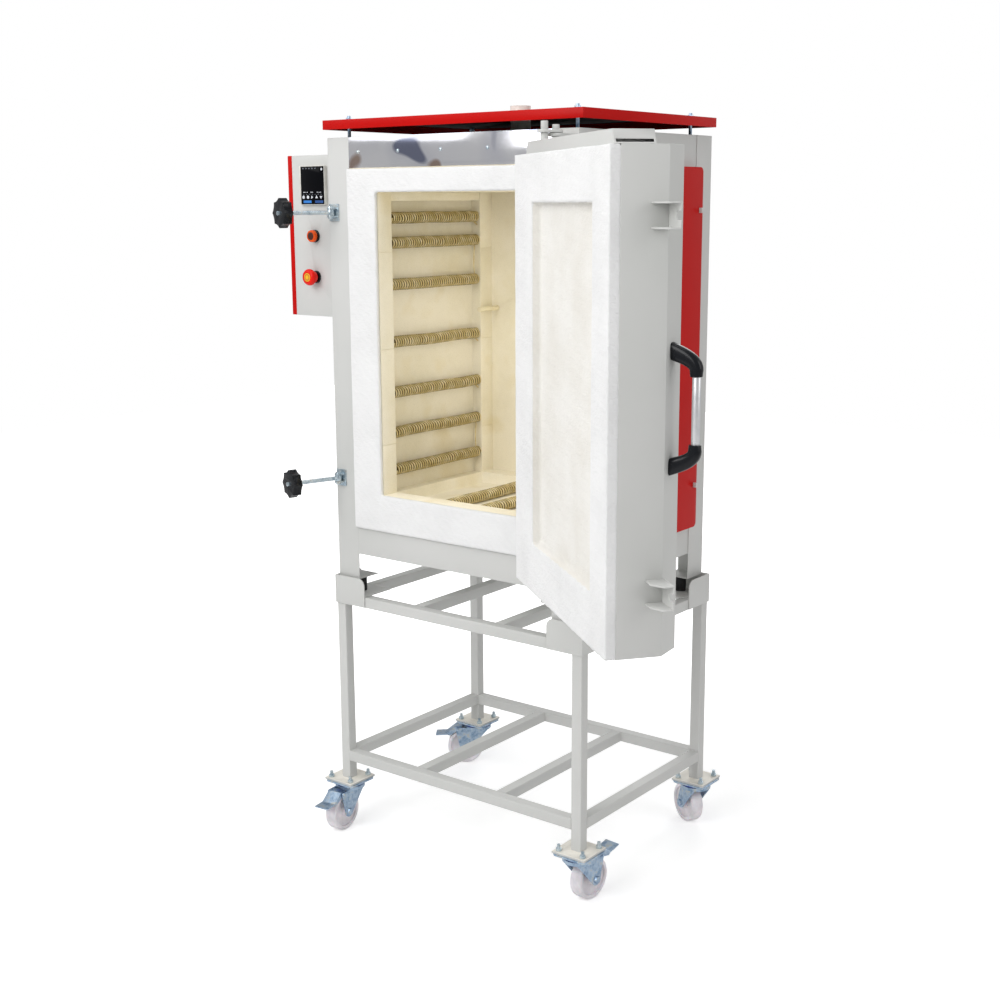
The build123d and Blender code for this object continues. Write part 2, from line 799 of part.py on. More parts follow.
# Roof: a folded tray on four studs, which are welded to the casing lid
stud_places = [
    (place_x, place_y)
    for place_x in (roof_left + stud_inset, roof_right - stud_inset)
    for place_y in (roof_front + stud_inset, roof_front + roof_depth - stud_inset)
]
with BuildPart() as roof_tray:
    with BuildSketch(Plane.XY.offset(roof_underside)):
        span(roof_left, roof_right, roof_front, roof_front + roof_depth)
        with Locations((0, vent_place)):
            Circle(vent_radius + vent_clearance, mode=Mode.SUBTRACT)
        with Locations(*stud_places):
            Circle(stud_radius + seat_gap, mode=Mode.SUBTRACT)
    extrude(amount=skin_sheet)
    with BuildSketch(Plane.XY.offset(roof_underside)):
        span(roof_left, roof_right, roof_front, roof_front + roof_depth)
        with Locations(((roof_left + roof_right) / 2, roof_front + roof_depth / 2)):
            Rectangle(
                roof_right - roof_left - 2 * skin_sheet,
                roof_depth - 2 * skin_sheet,
                mode=Mode.SUBTRACT,
            )
    extrude(amount=-(roof_rim - skin_sheet))
finish(roof_tray.part, "roof_tray")

with BuildPart() as roof_studs:
    with BuildSketch(Plane.XY.offset(casing_top)):
        with Locations(*stud_places):
            Circle(stud_radius)
    extrude(amount=roof_top + nut_height + stud_tip - casing_top)
    for level, height in ((roof_underside, -nut_height), (roof_top, nut_height)):
        with BuildSketch(Plane.XY.offset(level)):
            with Locations(*stud_places):
                RegularPolygon(bolt_flats / 2, 6, major_radius=False)
        extrude(amount=height)
finish(roof_studs.part, "roof_studs")

# Red cover over the element terminals on the right-hand side: a tray with rounded corners
with BuildPart() as terminal_cover:
    cover_root = half_width - post_sheet
    with BuildSketch(side_plane(cover_root)):
        with Locations(((cover_front + cover_rear) / 2, (cover_bottom + cover_top) / 2)):
            RectangleRounded(cover_rear - cover_front, cover_top - cover_bottom, cover_corner)
    extrude(amount=post_sheet + cover_proud)
    with BuildSketch(side_plane(cover_root)):
        with Locations(((cover_front + cover_rear) / 2, (cover_bottom + cover_top) / 2)):
            RectangleRounded(
                cover_rear - cover_front - 2 * skin_sheet,
                cover_top - cover_bottom - 2 * skin_sheet,
                cover_corner - skin_sheet,
            )
    extrude(amount=post_sheet + cover_proud - skin_sheet, mode=Mode.SUBTRACT)
finish(terminal_cover.part, "terminal_cover")

with BuildPart() as cover_hooks:
    hook_root = half_width + cover_proud
    for height in hook_heights:
        with BuildSketch(Plane.XY.offset(height - hook_width / 2)):
            span(hook_root, hook_root + hook_reach, hook_place, hook_place + hook_sheet)
            span(
                hook_root + hook_reach - hook_sheet,
                hook_root + hook_reach,
                hook_place,
                hook_place + hook_lip,
            )
        extrude(amount=hook_width)
finish(cover_hooks.part, "cover_hooks")

# Control box: folded sheet, open on its outer side, which the red cover closes
box_left = -half_width - box_width
box_top = box_bottom + box_height
with BuildPart() as control_box:
    with BuildSketch(front_plane(box_front)):
        span(box_left, -half_width, box_bottom, box_top)
    extrude(amount=-box_depth)
    with BuildSketch(front_plane(box_front + skin_sheet)):
        span(
            box_left - tool_reach,
            -half_width - skin_sheet,
            box_bottom + skin_sheet,
            box_top - skin_sheet,
        )
    extrude(amount=-(box_depth - 2 * skin_sheet), mode=Mode.SUBTRACT)
    with BuildSketch(front_plane(box_front)):
        with Locations((controller_x, controller_z)):
            Rectangle(controller_body[0] + 2 * seat_gap, controller_body[1] + 2 * seat_gap)
        with Locations((control_x, start_z), (control_x, stop_z)):
            Circle(stem_radius + seat_gap)
    extrude(amount=-skin_sheet, mode=Mode.SUBTRACT)
    with BuildSketch(Plane.XY.offset(box_bottom)):
        with Locations(((box_left - half_width) / 2, box_front + box_depth / 2)):
            Circle(gland_bore_radius + seat_gap)
    extrude(amount=skin_sheet, mode=Mode.SUBTRACT)
finish(control_box.part, "control_box")

with BuildPart() as control_box_cover:
    with BuildSketch(side_plane(box_left)):
        span(box_front, box_front + box_depth, box_bottom, box_top)
    extrude(amount=-box_cover)
    with BuildSketch(side_plane(box_left)):
        span(
            box_front + skin_sheet,
            box_front + box_depth - skin_sheet,
            box_bottom + skin_sheet,
            box_top - skin_sheet,
        )
    extrude(amount=-(box_cover - skin_sheet), mode=Mode.SUBTRACT)
finish(control_box_cover.part, "control_box_cover")

with BuildPart() as controller:
    with BuildSketch(front_plane(box_front)):
        with Locations((controller_x, controller_z)):
            RectangleRounded(controller_width, controller_height, controller_corner)
    extrude(amount=controller_bezel)
    with BuildSketch(front_plane(box_front)):
        with Locations((controller_x, controller_z)):
            Rectangle(*controller_body)
    extrude(amount=-controller_length)
finish(controller.part, "controller")

with BuildPart() as button_collars:
    with BuildSketch(front_plane(box_front)):
        with Locations((control_x, start_z), (control_x, stop_z)):
            Circle(collar_radius)
            Circle(stem_radius + running_gap, mode=Mode.SUBTRACT)
    extrude(amount=collar_proud)
finish(button_collars.part, "button_collars")


def push_button(height, travel, outline):
    # Head turned from its outline, on a stem that slides through the collar
    face = box_front - collar_proud - travel - seat_gap
    with BuildPart() as button:
        with BuildSketch(side_plane(control_x)):
            with BuildLine():
                Polyline(
                    (face, height),
                    *[(face - forward, height + radius) for forward, radius in outline],
                    (face - outline[-1][0], height),
                    close=True,
                )
            make_face()
        revolve(axis=Axis((control_x, 0, height), (0, 1, 0)))
        with BuildSketch(front_plane(face)):
            with Locations((control_x, height)):
                Circle(stem_radius)
        extrude(amount=-stem_length)
    return button.part


start_outline = (
    (0, start_radius),
    (start_height - button_edge, start_radius),
    (start_height, start_radius - button_edge),
)
finish(push_button(start_z, start_travel, start_outline), "start_button")
stop_outline = (
    (0, stop_neck_radius),
    (stop_neck, stop_neck_radius),
    (stop_neck + button_edge, stop_head_radius),
    (stop_neck + stop_head - button_edge, stop_head_radius),
    (stop_neck + stop_head, stop_head_radius - button_edge),
)
finish(push_button(stop_z, stop_travel, stop_outline), "estop_button")

with BuildPart() as cable_gland:
    with BuildSketch(Plane.XY.offset(box_bottom)):
        with Locations(((box_left - half_width) / 2, box_front + box_depth / 2)):
            RegularPolygon(gland_radius, 6)
            Circle(gland_bore_radius, mode=Mode.SUBTRACT)
    extrude(amount=-gland_length)
finish(cable_gland.part, "cable_gland")

# Door shell: folded sheet with two chamfered edges, closed at top and bottom
shell_outline = (
    (0, door_fibre_proud),
    (0, door_side),
    (door_depth - door_side, door_depth),
    (door_width - door_depth + door_side, door_depth),
    (door_width, door_side),
    (door_width, door_fibre_proud),
)
with BuildPart() as door_shell:
    with BuildSketch(door_plane.offset(door_bottom)):
        with BuildLine():
            Polyline(*shell_outline, close=True)
        make_face()
    extrude(amount=door_top - door_bottom)
    with BuildSketch(door_plane.offset(door_bottom + door_sheet)):
        with BuildLine():
            Polyline(*shell_outline, close=True)
        make_face()
        offset(amount=-door_sheet, kind=Kind.INTERSECTION)
        span(door_sheet, door_width - door_sheet, door_fibre_proud - tool_reach, door_side)
    extrude(amount=door_top - door_bottom - 2 * door_sheet, mode=Mode.SUBTRACT)
finish(door_shell.part, "door_shell")

# Door lining: fibre board that stands out of the shell, with a sunk panel
with BuildPart() as door_lining:
    with BuildSketch(door_plane.offset(door_bottom)):
        span(0, door_width, 0, door_fibre_proud)
    extrude(amount=door_top - door_bottom)
    with BuildSketch(door_plane.offset(door_bottom + door_sheet)):
        span(door_sheet, door_width - door_sheet, door_fibre_proud, door_fill)
    extrude(amount=door_top - door_bottom - 2 * door_sheet)
    with BuildSketch(door_plane.offset(panel_bottom)):
        span(panel_left, panel_right, -tool_reach, panel_depth)
    extrude(amount=panel_top - panel_bottom, mode=Mode.SUBTRACT)
finish(door_lining.part, "door_lining")


def door_front_plane(depth):
    # Seen from the lining side: sketch x runs along the door, sketch y is Z
    origin = door_plane.from_local_coords(Vector(0, depth, 0))
    return Plane(origin=origin, x_dir=door_plane.x_dir, z_dir=-door_plane.y_dir)


# Cap on the door's top edge: folded sheet with sloping ends and a slot in the free end
with BuildPart() as door_cap:
    cap_outline = (
        (cap_start, door_top),
        (door_width, door_top),
        (door_width - cap_slope, door_top + cap_height),
        (cap_start + cap_slope, door_top + cap_height),
    )
    with BuildSketch(door_front_plane(cap_front)):
        with BuildLine():
            Polyline(*cap_outline, close=True)
        make_face()
    extrude(amount=-(cap_rear - cap_front))
    with BuildSketch(door_front_plane(cap_front + skin_sheet)):
        with BuildLine():
            Polyline(*cap_outline, close=True)
        make_face()
        offset(amount=-skin_sheet, kind=Kind.INTERSECTION)
        span(cap_start + cap_slope, door_width - cap_slope, door_top, door_top + cap_slope)
    extrude(amount=-(cap_rear - cap_front - 2 * skin_sheet), mode=Mode.SUBTRACT)
    with BuildSketch(door_front_plane(cap_front + cap_slot_front)):
        span(door_width - 2 * cap_slope, door_width, door_top + cap_slot[0], door_top + cap_slot[1])
    extrude(amount=-(cap_rear - cap_front - 2 * cap_slot_front), mode=Mode.SUBTRACT)
finish(door_cap.part, "door_cap")

# Hinges, upper and lower: casing bracket, pin, link and the arm on the door's edge.
# Each level is a height and a direction, because the lower hinge is the upper one turned over.
hinge_levels = ((door_top, 1), (door_bottom, -1))
casing_pin_xy = (casing_pin.real, casing_pin.imag)
door_pin_xy = (door_pin.real, door_pin.imag)
link_rise = hinge_rise + hinge_plate + hinge_step

with BuildPart() as hinge_brackets:
    for edge, way in hinge_levels:
        with BuildSketch(Plane.XY.offset(edge + way * hinge_rise)):
            with Locations(casing_pin_xy):
                Circle(hinge_eye_radius)
            span(casing_pin.real + hinge_root[0], casing_pin.real + hinge_root[1], -post_sheet, 0)
            make_hull()
            with Locations(casing_pin_xy):
                Circle(hinge_pin_radius + running_gap, mode=Mode.SUBTRACT)
        extrude(amount=way * hinge_plate)
finish(hinge_brackets.part, "hinge_brackets")

with BuildPart() as casing_hinge_pins:
    for edge, way in hinge_levels:
        head_level = edge + way * (link_rise + hinge_plate + seat_gap)
        with BuildSketch(Plane.XY.offset(edge + way * (hinge_rise - hinge_plate))):
            with Locations(casing_pin_xy):
                Circle(hinge_pin_radius)
        extrude(amount=way * (link_rise + 2 * hinge_plate + seat_gap - hinge_rise))
        with BuildSketch(Plane.XY.offset(head_level)):
            with Locations(casing_pin_xy):
                Circle(pin_head_radius)
        extrude(amount=way * casing_pin_head)
        with BuildSketch(Plane.XY.offset(edge + way * hinge_rise)):
            with Locations(casing_pin_xy):
                Circle(pin_head_radius)
        extrude(amount=-way * hinge_plate)
finish(casing_hinge_pins.part, "casing_hinge_pins")

with BuildPart() as hinge_links:
    for edge, way in hinge_levels:
        with BuildSketch(Plane.XY.offset(edge + way * link_rise)):
            with Locations(casing_pin_xy, door_pin_xy):
                Circle(link_eye_radius)
            make_hull()
            with Locations(casing_pin_xy, door_pin_xy):
                Circle(hinge_pin_radius + running_gap, mode=Mode.SUBTRACT)
        extrude(amount=way * hinge_plate)
finish(hinge_links.part, "hinge_links")

with BuildPart() as door_hinge_pins:
    for edge, way in hinge_levels:
        with BuildSketch(Plane.XY.offset(edge)):
            with Locations(door_pin_xy):
                Circle(hinge_pin_radius)
        extrude(amount=way * (link_rise + hinge_plate))
        with BuildSketch(Plane.XY.offset(edge + way * (link_rise + hinge_plate))):
            with Locations(door_pin_xy):
                Circle(pin_head_radius)
        extrude(amount=way * door_pin_head)
finish(door_hinge_pins.part, "door_hinge_pins")

with BuildPart() as door_hinge_arms:
    pin_in_door = door_plane.to_local_coords(Vector(*door_pin_xy, 0))
    for edge, way in hinge_levels:
        with BuildSketch(door_plane.offset(edge)):
            with Locations((pin_in_door.X, pin_in_door.Y)):
                Circle(arm_half)
            span(0, arm_length, pin_in_door.Y - arm_half, pin_in_door.Y + arm_half)
            make_hull()
            with Locations((pin_in_door.X, pin_in_door.Y)):
                Circle(hinge_pin_radius + running_gap, mode=Mode.SUBTRACT)
        extrude(amount=way * arm_sheet)
        with BuildSketch(door_plane.offset(edge + way * arm_sheet)):
            with Locations((pin_in_door.X, pin_in_door.Y)):
                Circle(barrel_radius)
                Circle(hinge_pin_radius + running_gap, mode=Mode.SUBTRACT)
        extrude(amount=way * (link_rise - arm_sheet - seat_gap))
finish(door_hinge_arms.part, "door_hinge_arms")

# Latch brackets on the door's free edge: two flanges and a notched web that takes the swing bolt
with BuildPart() as latch_brackets:
    flange_outline = (
        (door_width, latch_root),
        (door_width + latch_shoulder[1], latch_shoulder[0]),
        (door_width + latch_corner[1], latch_corner[0]),
        (door_width + latch_reach, latch_web),
        (door_width, latch_web),
    )
    for level in bolt_levels.values():
        with BuildSketch(door_plane.offset(level - latch_height / 2)):
            with BuildLine():
                Polyline(*flange_outline, close=True)
            make_face()
        extrude(amount=latch_height)
        with BuildSketch(door_plane.offset(level - latch_height / 2 + latch_sheet)):
            span(door_width, door_width + latch_reach, 0, latch_web - latch_sheet)
        extrude(amount=latch_height - 2 * latch_sheet, mode=Mode.SUBTRACT)
        with BuildSketch(door_front_plane(latch_web - latch_sheet)):
            with Locations((door_width + notch_reach, level)):
                Circle(notch_radius)
            span(
                door_width + notch_reach,
                door_width + latch_reach + tool_reach,
                level - notch_radius,
                level + notch_radius,
            )
        extrude(amount=-latch_sheet, mode=Mode.SUBTRACT)
finish(latch_brackets.part, "latch_brackets")

# Swing bolts: clevis on the post, pin, eye bolt and star knob
latch_direction = (-sin(radians(latch_swing)), -cos(radians(latch_swing)), 0)
with BuildPart() as latch_clevises:
    for level in bolt_levels.values():
        with BuildSketch(front_plane(0)):
            with Locations((latch_pivot_x, level)):
                Rectangle(2 * lug_base_half, lug_base_height)
        extrude(amount=lug_base_sheet)
        for way in (-1, 1):
            with BuildSketch(Plane.XY.offset(level + way * (lug_half - lug_sheet))):
                with Locations((latch_pivot_x, latch_pivot_y)):
                    Circle(lug_radius)
                span(latch_pivot_x - lug_radius, latch_pivot_x + lug_radius, -lug_base_sheet, 0)
                make_hull()
                with Locations((latch_pivot_x, latch_pivot_y)):
                    Circle(latch_pin_radius + running_gap, mode=Mode.SUBTRACT)
            extrude(amount=way * lug_sheet)
        with BuildSketch(Plane.XY.offset(level - lug_half)):
            with Locations((latch_pivot_x, latch_pivot_y)):
                Circle(latch_pin_radius)
        extrude(amount=2 * lug_half)
        for way in (-1, 1):
            with BuildSketch(Plane.XY.offset(level + way * lug_half)):
                with Locations((latch_pivot_x, latch_pivot_y)):
                    Circle(latch_pin_head_radius)
            extrude(amount=way * latch_pin_head)
finish(latch_clevises.part, "latch_clevises")


def latch_plane(level, reach):
    # Square to the swing bolt, at a distance from its pivot
    return Plane(
        origin=(
            latch_pivot_x + reach * latch_direction[0],
            latch_pivot_y + reach * latch_direction[1],
            level,
        ),
        x_dir=(-latch_direction[1], latch_direction[0], 0),
        z_dir=latch_direction,
    )


def swing_bolt(level):
    bore = latch_pin_radius + running_gap
    with BuildPart() as bolt:
        with BuildSketch(Plane.XY.offset(level)):
            with Locations((latch_pivot_x, latch_pivot_y)):
                Circle(eye_radius)
        extrude(amount=eye_half, both=True)
        with BuildSketch(latch_plane(level, 0)):
            Circle(rod_radius)
        extrude(amount=knob_reach + knob_thickness / 2 + rod_tip)
        with BuildSketch(Plane.XY.offset(level)):
            with Locations((latch_pivot_x, latch_pivot_y)):
                Circle(bore)
        extrude(amount=eye_half + tool_reach, both=True, mode=Mode.SUBTRACT)
    return bolt.part


def star_place(radius, step):
    # Place on the star: whole steps are its points, half steps the bottoms of its hollows
    turn = 2 * pi * step / knob_lobes
    return radius * cos(turn), radius * sin(turn)


def star_knob(level):
    bore = rod_radius + running_gap
    with BuildPart() as knob:
        with BuildSketch(latch_plane(level, knob_reach - knob_thickness / 2)) as star:
            with BuildLine():
                for step in range(knob_lobes):
                    ThreePointArc(
                        star_place(knob_radius, step),
                        star_place(knob_radius - knob_scallop, step + 0.5),
                        star_place(knob_radius, step + 1),
                    )
            make_face()
            fillet(star.vertices(), knob_point)
            Circle(bore, mode=Mode.SUBTRACT)
        extrude(amount=knob_thickness)
        with BuildSketch(latch_plane(level, knob_reach - knob_thickness / 2)):
            Circle(knob_neck_radius)
            Circle(bore, mode=Mode.SUBTRACT)
        extrude(amount=-knob_neck)
    return knob.part


for name, level in bolt_levels.items():
    finish(swing_bolt(level), f"swing_bolt_{name}")
    finish(star_knob(level), f"star_knob_{name}")

# Door handle on the chamfer of the free edge: two moulded elbows and a bright tube between them
chamfer_drop = handle_place - (door_width - door_depth + door_side)
handle_root = door_plane.from_local_coords(Vector(handle_place, door_depth - chamfer_drop, 0))
handle_out = (door_plane.x_dir + door_plane.y_dir).normalized()
handle_side = Plane(origin=handle_root, x_dir=handle_out, z_dir=handle_out.cross(Vector(0, 0, 1)))
with BuildPart() as handle_ends:
    for level, way in zip(handle_levels, (-1, 1)):
        run_out = handle_standoff - handle_bend
        with BuildLine(handle_side) as elbow:
            Line((0, level), (run_out, level))
            TangentArc(
                (run_out, level),
                (handle_standoff, level + way * handle_bend),
                tangent=(1, 0),
            )
            Line(
                (handle_standoff, level + way * handle_bend),
                (handle_standoff, level + way * (handle_bend + handle_end_length)),
            )
        base_plane = Plane(
            origin=(handle_root.X, handle_root.Y, level),
            x_dir=handle_side.z_dir,
            z_dir=handle_out,
        )
        with BuildSketch(base_plane):
            Circle(handle_end_radius)
        sweep(path=elbow.wires()[0])
        with BuildSketch(base_plane):
            RectangleRounded(*handle_pad, handle_end_radius)
        extrude(amount=handle_pad_sheet)
    socket_top = handle_levels[0] - handle_bend - handle_end_length + handle_socket
    socket_bottom = handle_levels[1] + handle_bend + handle_end_length - handle_socket
    grip = handle_root + handle_out * handle_standoff
    with BuildSketch(Plane.XY.offset(socket_bottom)):
        with Locations((grip.X, grip.Y)):
            Circle(handle_tube_radius + running_gap)
    extrude(amount=socket_top - socket_bottom, mode=Mode.SUBTRACT)
finish(handle_ends.part, "handle_ends")

with BuildPart() as handle_tube:
    with BuildSketch(Plane.XY.offset(socket_bottom)):
        with Locations((grip.X, grip.Y)):
            Circle(handle_tube_radius)
    extrude(amount=socket_top - socket_bottom)
finish(handle_tube.part, "handle_tube")

# Move everything so that the origin is the middle of the footprint, then write one file a piece
extent = Compound(children=[Compound(piece.wrapped) for piece in finished]).bounding_box()
shift = Vector(-(extent.min.X + extent.max.X) / 2, -(extent.min.Y + extent.max.Y) / 2, 0)
print("overall size:", [round(value, 2) for value in tuple(extent.size)])
print("shift to the middle of the footprint:", round(shift.X, 4), round(shift.Y, 4))
print("door pin:", round(door_pin.real, 4), round(door_pin.imag, 4))
for piece in finished:
    label = piece.label
    moved = piece.moved(Location(shift))
    moved.label = label
    export_step(moved, f"parts/{label}.step")
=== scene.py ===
import json
from math import cos, pi, radians, sin

import bpy
from mathutils import Matrix, Vector, noise

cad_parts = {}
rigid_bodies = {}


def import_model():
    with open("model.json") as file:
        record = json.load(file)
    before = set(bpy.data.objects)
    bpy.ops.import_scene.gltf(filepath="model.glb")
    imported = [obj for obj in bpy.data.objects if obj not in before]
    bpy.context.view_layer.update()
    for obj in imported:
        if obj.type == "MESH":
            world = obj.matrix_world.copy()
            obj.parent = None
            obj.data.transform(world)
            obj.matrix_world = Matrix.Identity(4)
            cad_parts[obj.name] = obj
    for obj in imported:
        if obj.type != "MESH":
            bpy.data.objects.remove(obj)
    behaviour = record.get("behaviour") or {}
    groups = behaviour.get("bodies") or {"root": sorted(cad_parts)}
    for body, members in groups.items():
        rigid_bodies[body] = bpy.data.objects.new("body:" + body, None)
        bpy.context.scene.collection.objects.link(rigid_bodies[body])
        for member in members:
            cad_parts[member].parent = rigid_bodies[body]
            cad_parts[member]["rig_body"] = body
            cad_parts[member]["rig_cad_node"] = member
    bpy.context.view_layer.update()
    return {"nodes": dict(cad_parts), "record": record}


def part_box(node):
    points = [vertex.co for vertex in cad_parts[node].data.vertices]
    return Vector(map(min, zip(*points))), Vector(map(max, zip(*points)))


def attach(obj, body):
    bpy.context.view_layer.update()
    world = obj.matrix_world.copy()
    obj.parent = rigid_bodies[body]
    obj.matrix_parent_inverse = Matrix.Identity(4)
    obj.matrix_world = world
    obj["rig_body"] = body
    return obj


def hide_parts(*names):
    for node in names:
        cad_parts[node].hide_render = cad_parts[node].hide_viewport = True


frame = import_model()
nodes = frame["nodes"]
bodies = frame["record"]["behaviour"]["bodies"]
bodyOf = {node: body for body, members in bodies.items() for node in members}
slotOf = {part["node"]: part["material_slot"] for part in frame["record"]["subparts"]}
postLow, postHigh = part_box("casing_posts")
middleX = (postLow.x + postHigh.x) / 2     # middle of the casing
frontY = postLow.y                         # front face of the casing
mm = 0.001


def at(x, y, z):
    # A place given in mm from the middle of the casing's front edge and the floor
    return Vector((middleX + x * mm, frontY + y * mm, z * mm))


doorTurn = radians(-37.9)                  # the door's width against the casing's, as photographed
doorAlong = Vector((cos(doorTurn), sin(doorTurn), 0))
doorDeep = Vector((-sin(doorTurn), cos(doorTurn), 0))


def onDoor(along, deep, z):
    # A place given in mm from the hinge-side corner of the door's fibre face
    return at(314, -160, z) + (doorAlong * along + doorDeep * deep) * mm


print("stage: camera")
cameraView = {
    "place": (2092.8, -2513.5, 1579.1),    # mm, measured through the photograph
    "right": (0.79171148, 0.61087082, -0.00545651),
    "up": (-0.11993028, 0.16417991, 0.9791127),
    "forward": (-0.59900723, 0.77452037, -0.20324503),
    "lens": 51.732,
    "sensor": 36.0,
}
bpy.ops.object.camera_add()
camera = bpy.context.object
camera.name = "Camera"
axes = Matrix((cameraView["right"], cameraView["up"], [-v for v in cameraView["forward"]])).transposed()
camera.matrix_world = Matrix.Translation(at(*cameraView["place"])) @ axes.to_4x4()
camera.data.lens = cameraView["lens"]
camera.data.sensor_width = cameraView["sensor"]
camera.data.clip_start = 0.05
camera.data.clip_end = 60
bpy.context.scene.camera = camera


# Materials

def tint(code):
    # sRGB hex to linear RGBA
    values = [int(code[i:i + 2], 16) / 255 for i in (1, 3, 5)]
    return [v / 12.92 if v <= 0.04045 else ((v + 0.055) / 1.055) ** 2.4 for v in values] + [1.0]


def addNode(tree, kind, settings=None, links=None):
    node = tree.nodes.new(kind)
    for key, value in (settings or {}).items():
        if key in node.inputs:
            node.inputs[key].default_value = value
        else:
            setattr(node, key, value)
    for key, source in (links or {}).items():
        tree.links.new(source, node.inputs[key])
    return node


def newMaterial(name, **sockets):
    material = bpy.data.materials.new(name)
    material.use_nodes = True
    tree = material.node_tree
    shader = tree.nodes["Principled BSDF"]
    for key, value in sockets.items():
        shader.inputs[key.replace("_", " ")].default_value = value
    coords = addNode(tree, "ShaderNodeTexCoord").outputs["Object"]
    return material, tree, shader, coords


def ramp(tree, source, stops):
    # Colour ramp between (place, hex) stops
    node = addNode(tree, "ShaderNodeValToRGB", links={"Fac": source})
    while len(node.color_ramp.elements) < len(stops):
        node.color_ramp.elements.new(0.5)
    for element, (place, code) in zip(node.color_ramp.elements, stops):
        element.position = place
        element.color = tint(code)
    return node.outputs["Color"]


def bump(tree, shader, height, strength, depth):
    node = addNode(tree, "ShaderNodeBump", {"Strength": strength, "Distance": depth}, {"Height": height})
    tree.links.new(node.outputs["Normal"], shader.inputs["Normal"])
    return node


def powderCoat(name, pale, deep, rough, gloss=0.4):
    # Powder-coated steel: sprayed dry and baked, which leaves a slight orange peel under a soft gloss
    material, tree, shader, coords = newMaterial(name, Roughness=rough, Specular_IOR_Level=gloss)
    cloud = addNode(tree, "ShaderNodeTexNoise", {"Scale": 2.6, "Detail": 3.0}, {"Vector": coords})
    tree.links.new(ramp(tree, cloud.outputs["Fac"], [(0.3, deep), (0.7, pale)]), shader.inputs["Base Color"])
    # peel is about 1 mm across on the real sheet, here 4 mm so that it shows
    peel = addNode(tree, "ShaderNodeTexNoise", {"Scale": 260.0, "Detail": 2.0}, {"Vector": coords})
    bump(tree, shader, peel.outputs["Fac"], 0.1, 0.0006)
    return material


def zincPlate(name, pale, deep, rough, warm="#C4C4BE"):
    # Zinc-plated and blue-passivated steel: cloudy, with faint yellow and blue in it
    material, tree, shader, coords = newMaterial(name, Metallic=0.9, Roughness=rough)
    cloud = addNode(tree, "ShaderNodeTexNoise", {"Scale": 70.0, "Detail": 4.0, "Roughness": 0.65},
                    {"Vector": coords})
    colour = ramp(tree, cloud.outputs["Fac"], [(0.34, deep), (0.55, pale), (0.68, warm), (0.76, pale)])
    tree.links.new(colour, shader.inputs["Base Color"])
    grain = addNode(tree, "ShaderNodeTexNoise", {"Scale": 700.0, "Detail": 2.0}, {"Vector": coords})
    spread = addNode(tree, "ShaderNodeMapRange",
                     {"To Min": rough - 0.08, "To Max": rough + 0.14}, {"Value": grain.outputs["Fac"]})
    tree.links.new(spread.outputs["Result"], shader.inputs["Roughness"])
    bump(tree, shader, grain.outputs["Fac"], 0.08, 0.0003)
    return material


def moulded(name, code, rough, grainScale=900.0, grainDepth=0.00015, **sockets):
    # Moulded plastic or rubber: one colour through, with the fine grain of its tool
    material, tree, shader, coords = newMaterial(name, Roughness=rough, **sockets)
    cloud = addNode(tree, "ShaderNodeTexNoise", {"Scale": 30.0, "Detail": 3.0}, {"Vector": coords})
    dark = "#" + "".join(f"{int(int(code[i:i + 2], 16) * 0.9):02X}" for i in (1, 3, 5))
    colour = ramp(tree, cloud.outputs["Fac"], [(0.35, dark), (0.65, code)])
    tree.links.new(colour, shader.inputs["Base Color"])
    grain = addNode(tree, "ShaderNodeTexNoise", {"Scale": grainScale, "Detail": 1.0}, {"Vector": coords})
    bump(tree, shader, grain.outputs["Fac"], 0.25, grainDepth)
    return material


def fibreBoard(name, pale, deep):
    # Vacuum-formed ceramic fibre: chalky white felt with a soft nap and no gloss at all
    material, tree, shader, coords = newMaterial(name, Roughness=1.0, Sheen_Weight=0.12, Sheen_Roughness=0.6)
    shader.inputs["Specular IOR Level"].default_value = 0.12
    cloud = addNode(tree, "ShaderNodeTexNoise", {"Scale": 9.0, "Detail": 5.0}, {"Vector": coords})
    tree.links.new(ramp(tree, cloud.outputs["Fac"], [(0.32, deep), (0.6, pale)]), shader.inputs["Base Color"])
    # the nap's tufts are a few mm long and lie level
    level = addNode(tree, "ShaderNodeMapping", {"Scale": (1.0, 1.0, 2.4)}, {"Vector": coords})
    nap = addNode(tree, "ShaderNodeTexNoise", {"Scale": 130.0, "Detail": 5.0, "Roughness": 0.65},
                  {"Vector": level.outputs["Vector"]})
    # the felting screen leaves a faint slanting weave
    weave = addNode(tree, "ShaderNodeTexWave", {
        "bands_direction": "DIAGONAL", "Scale": 26.0, "Distortion": 5.0, "Detail": 3.0, "Detail Scale": 3.0},
        {"Vector": coords})
    pressed = addNode(tree, "ShaderNodeMath", {"operation": "MULTIPLY"})
    tree.links.new(weave.outputs["Fac"], pressed.inputs[0])
    pressed.inputs[1].default_value = 0.3
    relief = addNode(tree, "ShaderNodeMath", {"operation": "ADD"})
    tree.links.new(nap.outputs["Fac"], relief.inputs[0])
    tree.links.new(pressed.outputs["Value"], relief.inputs[1])
    bump(tree, shader, relief.outputs["Value"], 0.7, 0.0022)
    return material


